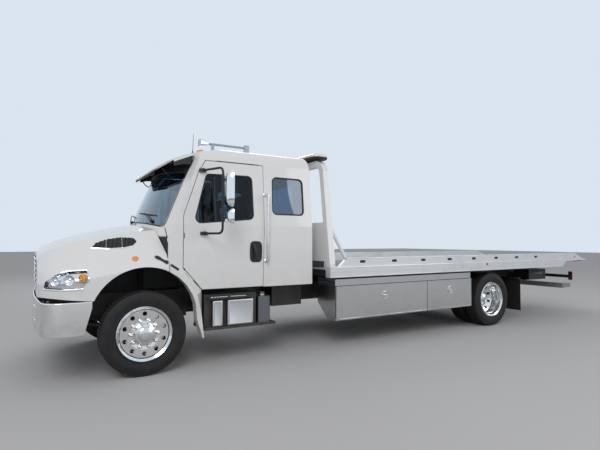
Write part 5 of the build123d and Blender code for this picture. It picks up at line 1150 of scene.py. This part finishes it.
def tread_plate(place):
    """Two tracks worn bright where tyres roll, and crossed bars of raised lugs at 45 degrees."""
    beside_track = abs(place.part("Y") ** 2 - 0.62).between(0.0, 0.5)
    worn = place.stretched(0.25, 1, 1).noise(3.5, 5).between(0.42, 0.7) * (1 - beside_track)
    turned = place.node("ShaderNodeVectorRotate", {"rotation_type": "Z_AXIS"},
                        {"Vector": place, "Angle": math.radians(45)})
    bars, cross = (turned.node("ShaderNodeTexWave", {"wave_type": "BANDS", "bands_direction": axis},
                               {"Vector": turned, "Scale": 18.0, "Distortion": 0.0}, out=1) for axis in "XY")
    return {"Base Color": worn.mix((0.17, 0.175, 0.18), (0.42, 0.42, 0.42)),
            "Metallic": worn * 0.8,
            "Roughness": 0.5 - worn * 0.18 + place.noise(60, 3) * 0.1,
            "Normal": (bars * cross).between(0.55, 0.8).bump(0.0015, 0.7)}


def extruded_rail(place):
    lines = place.stretched(0.6, 80, 80).noise(10, 3)
    film = place.noise(3.0, 5).between(0.45, 0.8)
    return {"Base Color": (film * 0.6 + lines * 0.3).mix((0.78, 0.785, 0.79), (0.55, 0.545, 0.53)),
            "Metallic": 0.75 - film * 0.3,
            "Roughness": 0.34 + film * 0.2 + lines * 0.08,
            "Normal": lines.bump(0.0004, 0.35)}


coat_nodes(finish("tread_plate", {}, tread_plate), "bed_deck")
rail_finish = finish("extruded_rail", {}, extruded_rail)
coat_nodes(rail_finish, "bed_rails")
lips, pockets, markers = bmesh.new(), bmesh.new(), bmesh.new()
rail_face, upper_face, first_slot, slot_pitch = 1.2505, 1.2005, 1.001, 0.604
for side in (1, -1):
    for y, z, x_low, x_high, tall in ((rail_face, 1.100, -4.93, 1.59, 0.006),
                                      (rail_face, 0.976, -4.05, 1.59, 0.006),
                                      (rail_face, 1.040, -4.78, 1.59, 0.003),
                                      (upper_face, 1.221, -4.6, 1.25, 0.006),
                                      (upper_face, 1.122, -4.9, 1.38, 0.005)):
        line = [(x_low + (x_high - x_low) * t, side * (y - 0.002), z) for t in shares(8)]
        strip_along(lips, line, (0, side, 0), tall, 0.0045)
    for k in range(8):
        x = first_slot - slot_pitch * k
        tube_along(pockets, window_path(x - 0.046, x + 0.046, side * 1.199, 1.157, 1.189, 0.006, 3), 0.003, 6)
        pockets.faces.new([pockets.verts.new((x + sx * 0.0445, side * 1.1845, 1.173 + sz * 0.0145))
                           for sx, sz in square])
    for x, y, z in ((-4.62, 1.200, 1.150), (-1.70, rail_face, 1.075)):
        revolve(markers, [(0.022, 0.0), (0.022, 0.003), (0.017, 0.007), (0, 0.009)], (0, side, 0),
                (x, side * y, z), 20)
piece("rail_lips", lips, "bed", rail_finish)
piece("slot_rims", pockets, "bed", black_plastic)
piece("rail_markers", markers, "bed", tail_red)

# Headboard and light bar.
# The arch is bent from square steel tube, welded to foot plates that are bolted to the rails. The
# low light bar has a black base, ivory lenses and a ribbed clear cover.
foot_bolts = bmesh.new()
for side in (1, -1):
    for x in (1.485, 1.555):
        for step_y in (-0.038, 0.038):
            hex_bolt(foot_bolts, (x, side * 1.155 + step_y, 1.140), (0, 0, 1), 0.014)
piece("headboard_bolts", foot_bolts, "bed", stainless_bar)
ivory = shaded("ivory_lens", {"Coat Weight": 0.6}, lambda place: place.stretched(1, 1, 0).noise(90, 1),
               (0.80, 0.70, 0.52), (0.90, 0.84, 0.72), 0.14, 0.12, (0.001, 0.5))
bar_black = shaded("light_bar_black", {}, lambda place: place.noise(300, 2),
                   (0.012, 0.012, 0.012), (0.022, 0.022, 0.022), 0.45, 0.1, (0.0003, 0.4))
low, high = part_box("light_bar")
bar, cover = bmesh.new(), bmesh.new()
bar_x, bar_half = (low.x + high.x) / 2, high.y - 0.002
bar_reach, seam_reach, seam_rise = 0.148, 0.14381, 0.034
base_levels = ((0.022, 0.030), (0.026, 0.004), (0.044, 0.0), (0.048, 0.006), (0.052, 0.012))
cover_levels = ((0.050, 0.010), (0.056, 0.004), (0.078, 0.006), (0.090, 0.020), (high.z - low.z, 0.052))
for mesh, levels in ((bar, base_levels), (cover, cover_levels)):
    loft(mesh, [[mesh.verts.new((bar_x + c * (bar_reach - shrink), s * (bar_half - shrink), low.z + rise))
                 for c, s in round_points(64, 0.5, 0.22)] for rise, shrink in levels])
for y in (-0.5, 0.5):
    rounded_slab(bar, (bar_x - 0.04, y - 0.06, low.z), (bar_x + 0.04, y + 0.06, low.z + 0.024), 0.008, 0.002)
for k in range(15):
    seam = [(bar_x + seam_reach * math.cos(math.pi * t), -0.84 + 0.12 * k,
             low.z + 0.060 + seam_rise * math.sin(math.pi * t)) for t in shares(10)]
    tube_along(bar, seam, 0.0025, 6)
base = piece("light_bar_base", bar, "bed", bar_black)
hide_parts("light_bar")
piece("light_bar_lenses", cover, "bed", ivory)

# Winch.
# A planetary winch between two plates. The drum carries close turns of steel rope, laid side by
# side, with its end clamped to the flange.
rope_steel = shaded("rope_steel", bare_metal, lambda place: place.stretched(1, 40, 1).noise(30, 2),
                    (0.30, 0.30, 0.30), (0.55, 0.54, 0.52), 0.38, 0.2, (0.001, 0.6))
coat_nodes(rope_steel, "winch_drum")
turns = bmesh.new()
drum_half, drum_radius, turn_count = 0.158, 0.05, 26
rope_foot, rope_rise, rope_width = 0.0705, 0.006, 0.01215
rope_pitch = 2 * drum_half / turn_count
profile = [(drum_radius, -drum_half)]
for k in range(turn_count):
    for a in (math.pi * (j + 0.5) / 4 for j in range(4)):
        along = rope_pitch * k - drum_half + rope_width * (0.5 - 0.5 * math.cos(a))
        profile.append((rope_foot + rope_rise * math.sin(a), along))
profile.append((drum_radius, drum_half))
revolve(turns, profile, (0, 1, 0), (1.175, 0, 1.205), 40)
piece("rope_turns", turns, "drum", rope_steel)

# Wheel lift.
# Square steel tube painted grey, chipped to bare metal at the edges: a stinger that telescopes
# in the boom and a cross bar with pinned forks.


def chipped_grey(place):
    chips = place.noise(26, 6, 0.7).between(0.60, 0.66)
    rust = place.noise(9, 5).between(0.55, 0.75)
    return {"Base Color": (chips * 0.7 + rust * 0.3).mix((0.26, 0.26, 0.255), (0.16, 0.085, 0.045)),
            "Roughness": 0.45 + chips * 0.25 + rust * 0.1,
            "Normal": (chips * -1.0).bump(0.0006, 0.5)}


lift_paint = finish("lift_paint", {}, chipped_grey)
coat_nodes(lift_paint, "lift_boom", "lift_bar")
pins = bmesh.new()
cross_top = 0.5955
for side in (1, -1):
    for x, y in ((-4.545, 0.93), (-4.575, 0.93), (-4.545, 0.86), (-4.575, 0.86)):
        hex_bolt(pins, (x, side * y, cross_top), (0, 0, 1), 0.018)
piece("fork_bolts", pins, "lift_cross", stainless_bar)

# The middle stage of the telescope is a bar inside the two tubes. It runs out nearly half as far as the cross
# bar does.
# It is left on no body, and the end worked out for that share of the stroke is not used.
stage_rear, stage_front, stage_z, stage_half, stage_edge = -4.600, -3.965, 0.545, 0.047, 0.006
stage = bmesh.new()
levels = ((stage_rear, stage_edge), (stage_rear + stage_edge, 0), (stage_front - stage_edge, 0),
          (stage_front, stage_edge))
loft(stage, [[stage.verts.new((x, y, stage_z + z))
              for y, z in rounded_square(stage_half, stage_half, 0.010, shrink, 3)] for x, shrink in levels])
made = piece("lift_middle_stage", stage, None, lift_paint)
share_of_stroke, reach = 0.4665, 200
near_end = (stage_rear + stage_front) / 2 + share_of_stroke * reach
near_end - reach
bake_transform(made)

# Studio.
# A pale floor and soft lights; the camera stands where the photographer stood.
floor = bpy.data.meshes.new("studio_floor")
floor.from_pydata([(60 * sx, 60 * sy, 0) for sx, sy in square], [], [(0, 1, 2, 3)])
ground = bpy.data.objects.new("studio_floor", floor)
bpy.context.collection.objects.link(ground)
floor_paint = bpy.data.materials.new("studio_floor_paint")
floor_paint.use_nodes = True
floor_sockets = floor_paint.node_tree.nodes["Principled BSDF"].inputs
floor_sockets["Base Color"].default_value = (0.55, 0.55, 0.56, 1)
floor_sockets["Roughness"].default_value = 0.9
floor.materials.append(floor_paint)

world = bpy.data.worlds.new("studio")
bpy.context.scene.world = world
world.use_nodes = True
backdrop = world.node_tree.nodes["Background"]
rays = world.node_tree.nodes.new("ShaderNodeLightPath").outputs
camera_ray, glossy_ray, clear_ray = (Field(world.node_tree, rays[name]) for name in
                                     ("Is Camera Ray", "Is Glossy Ray", "Is Transmission Ray"))
tint = (camera_ray + glossy_ray + clear_ray).limited()
world.node_tree.links.new(tint.mix((1, 1, 1), (0.70, 0.78, 0.87)).socket, backdrop.inputs["Color"])
world.node_tree.links.new((0.42 + tint * 0.58).socket, backdrop.inputs["Strength"])
for name, place, aim, size, power in (("key_light", (9, 10, 9), (1, 0, 1), 7, 620),
                                      ("fill_light", (-8, 10, 6), (-1, 0, 1), 8, 260),
                                      ("rim_light", (-2, -11, 8), (0, 0, 1), 8, 330)):
    lamp = bpy.data.lights.new(name, "AREA")
    lamp.shape, lamp.size, lamp.energy = "DISK", size, power
    made = bpy.data.objects.new(name, lamp)
    bpy.context.collection.objects.link(made)
    made.location = place
    made.rotation_euler = (Vector(aim) - Vector(place)).to_track_quat("-Z", "Y").to_euler()

camera = bpy.data.objects.new("camera", bpy.data.cameras.new("camera"))
bpy.context.collection.objects.link(camera)
bpy.context.scene.camera = camera
camera.location = (5.082, 6.158, 1.462)
camera.data.lens = 26.94
camera.data.sensor_width = 36
yaw, pitch, roll = math.radians(31.51), math.radians(2.02), math.radians(0.16)
sight = Vector((-math.sin(yaw) * math.cos(pitch), -math.cos(yaw) * math.cos(pitch), math.sin(pitch)))
aim = sight.to_track_quat("-Z", "Y").to_matrix() @ Matrix.Rotation(roll, 3, "Z")
camera.rotation_euler = aim.to_euler()
bpy.context.scene.view_settings.view_transform = "Standard"
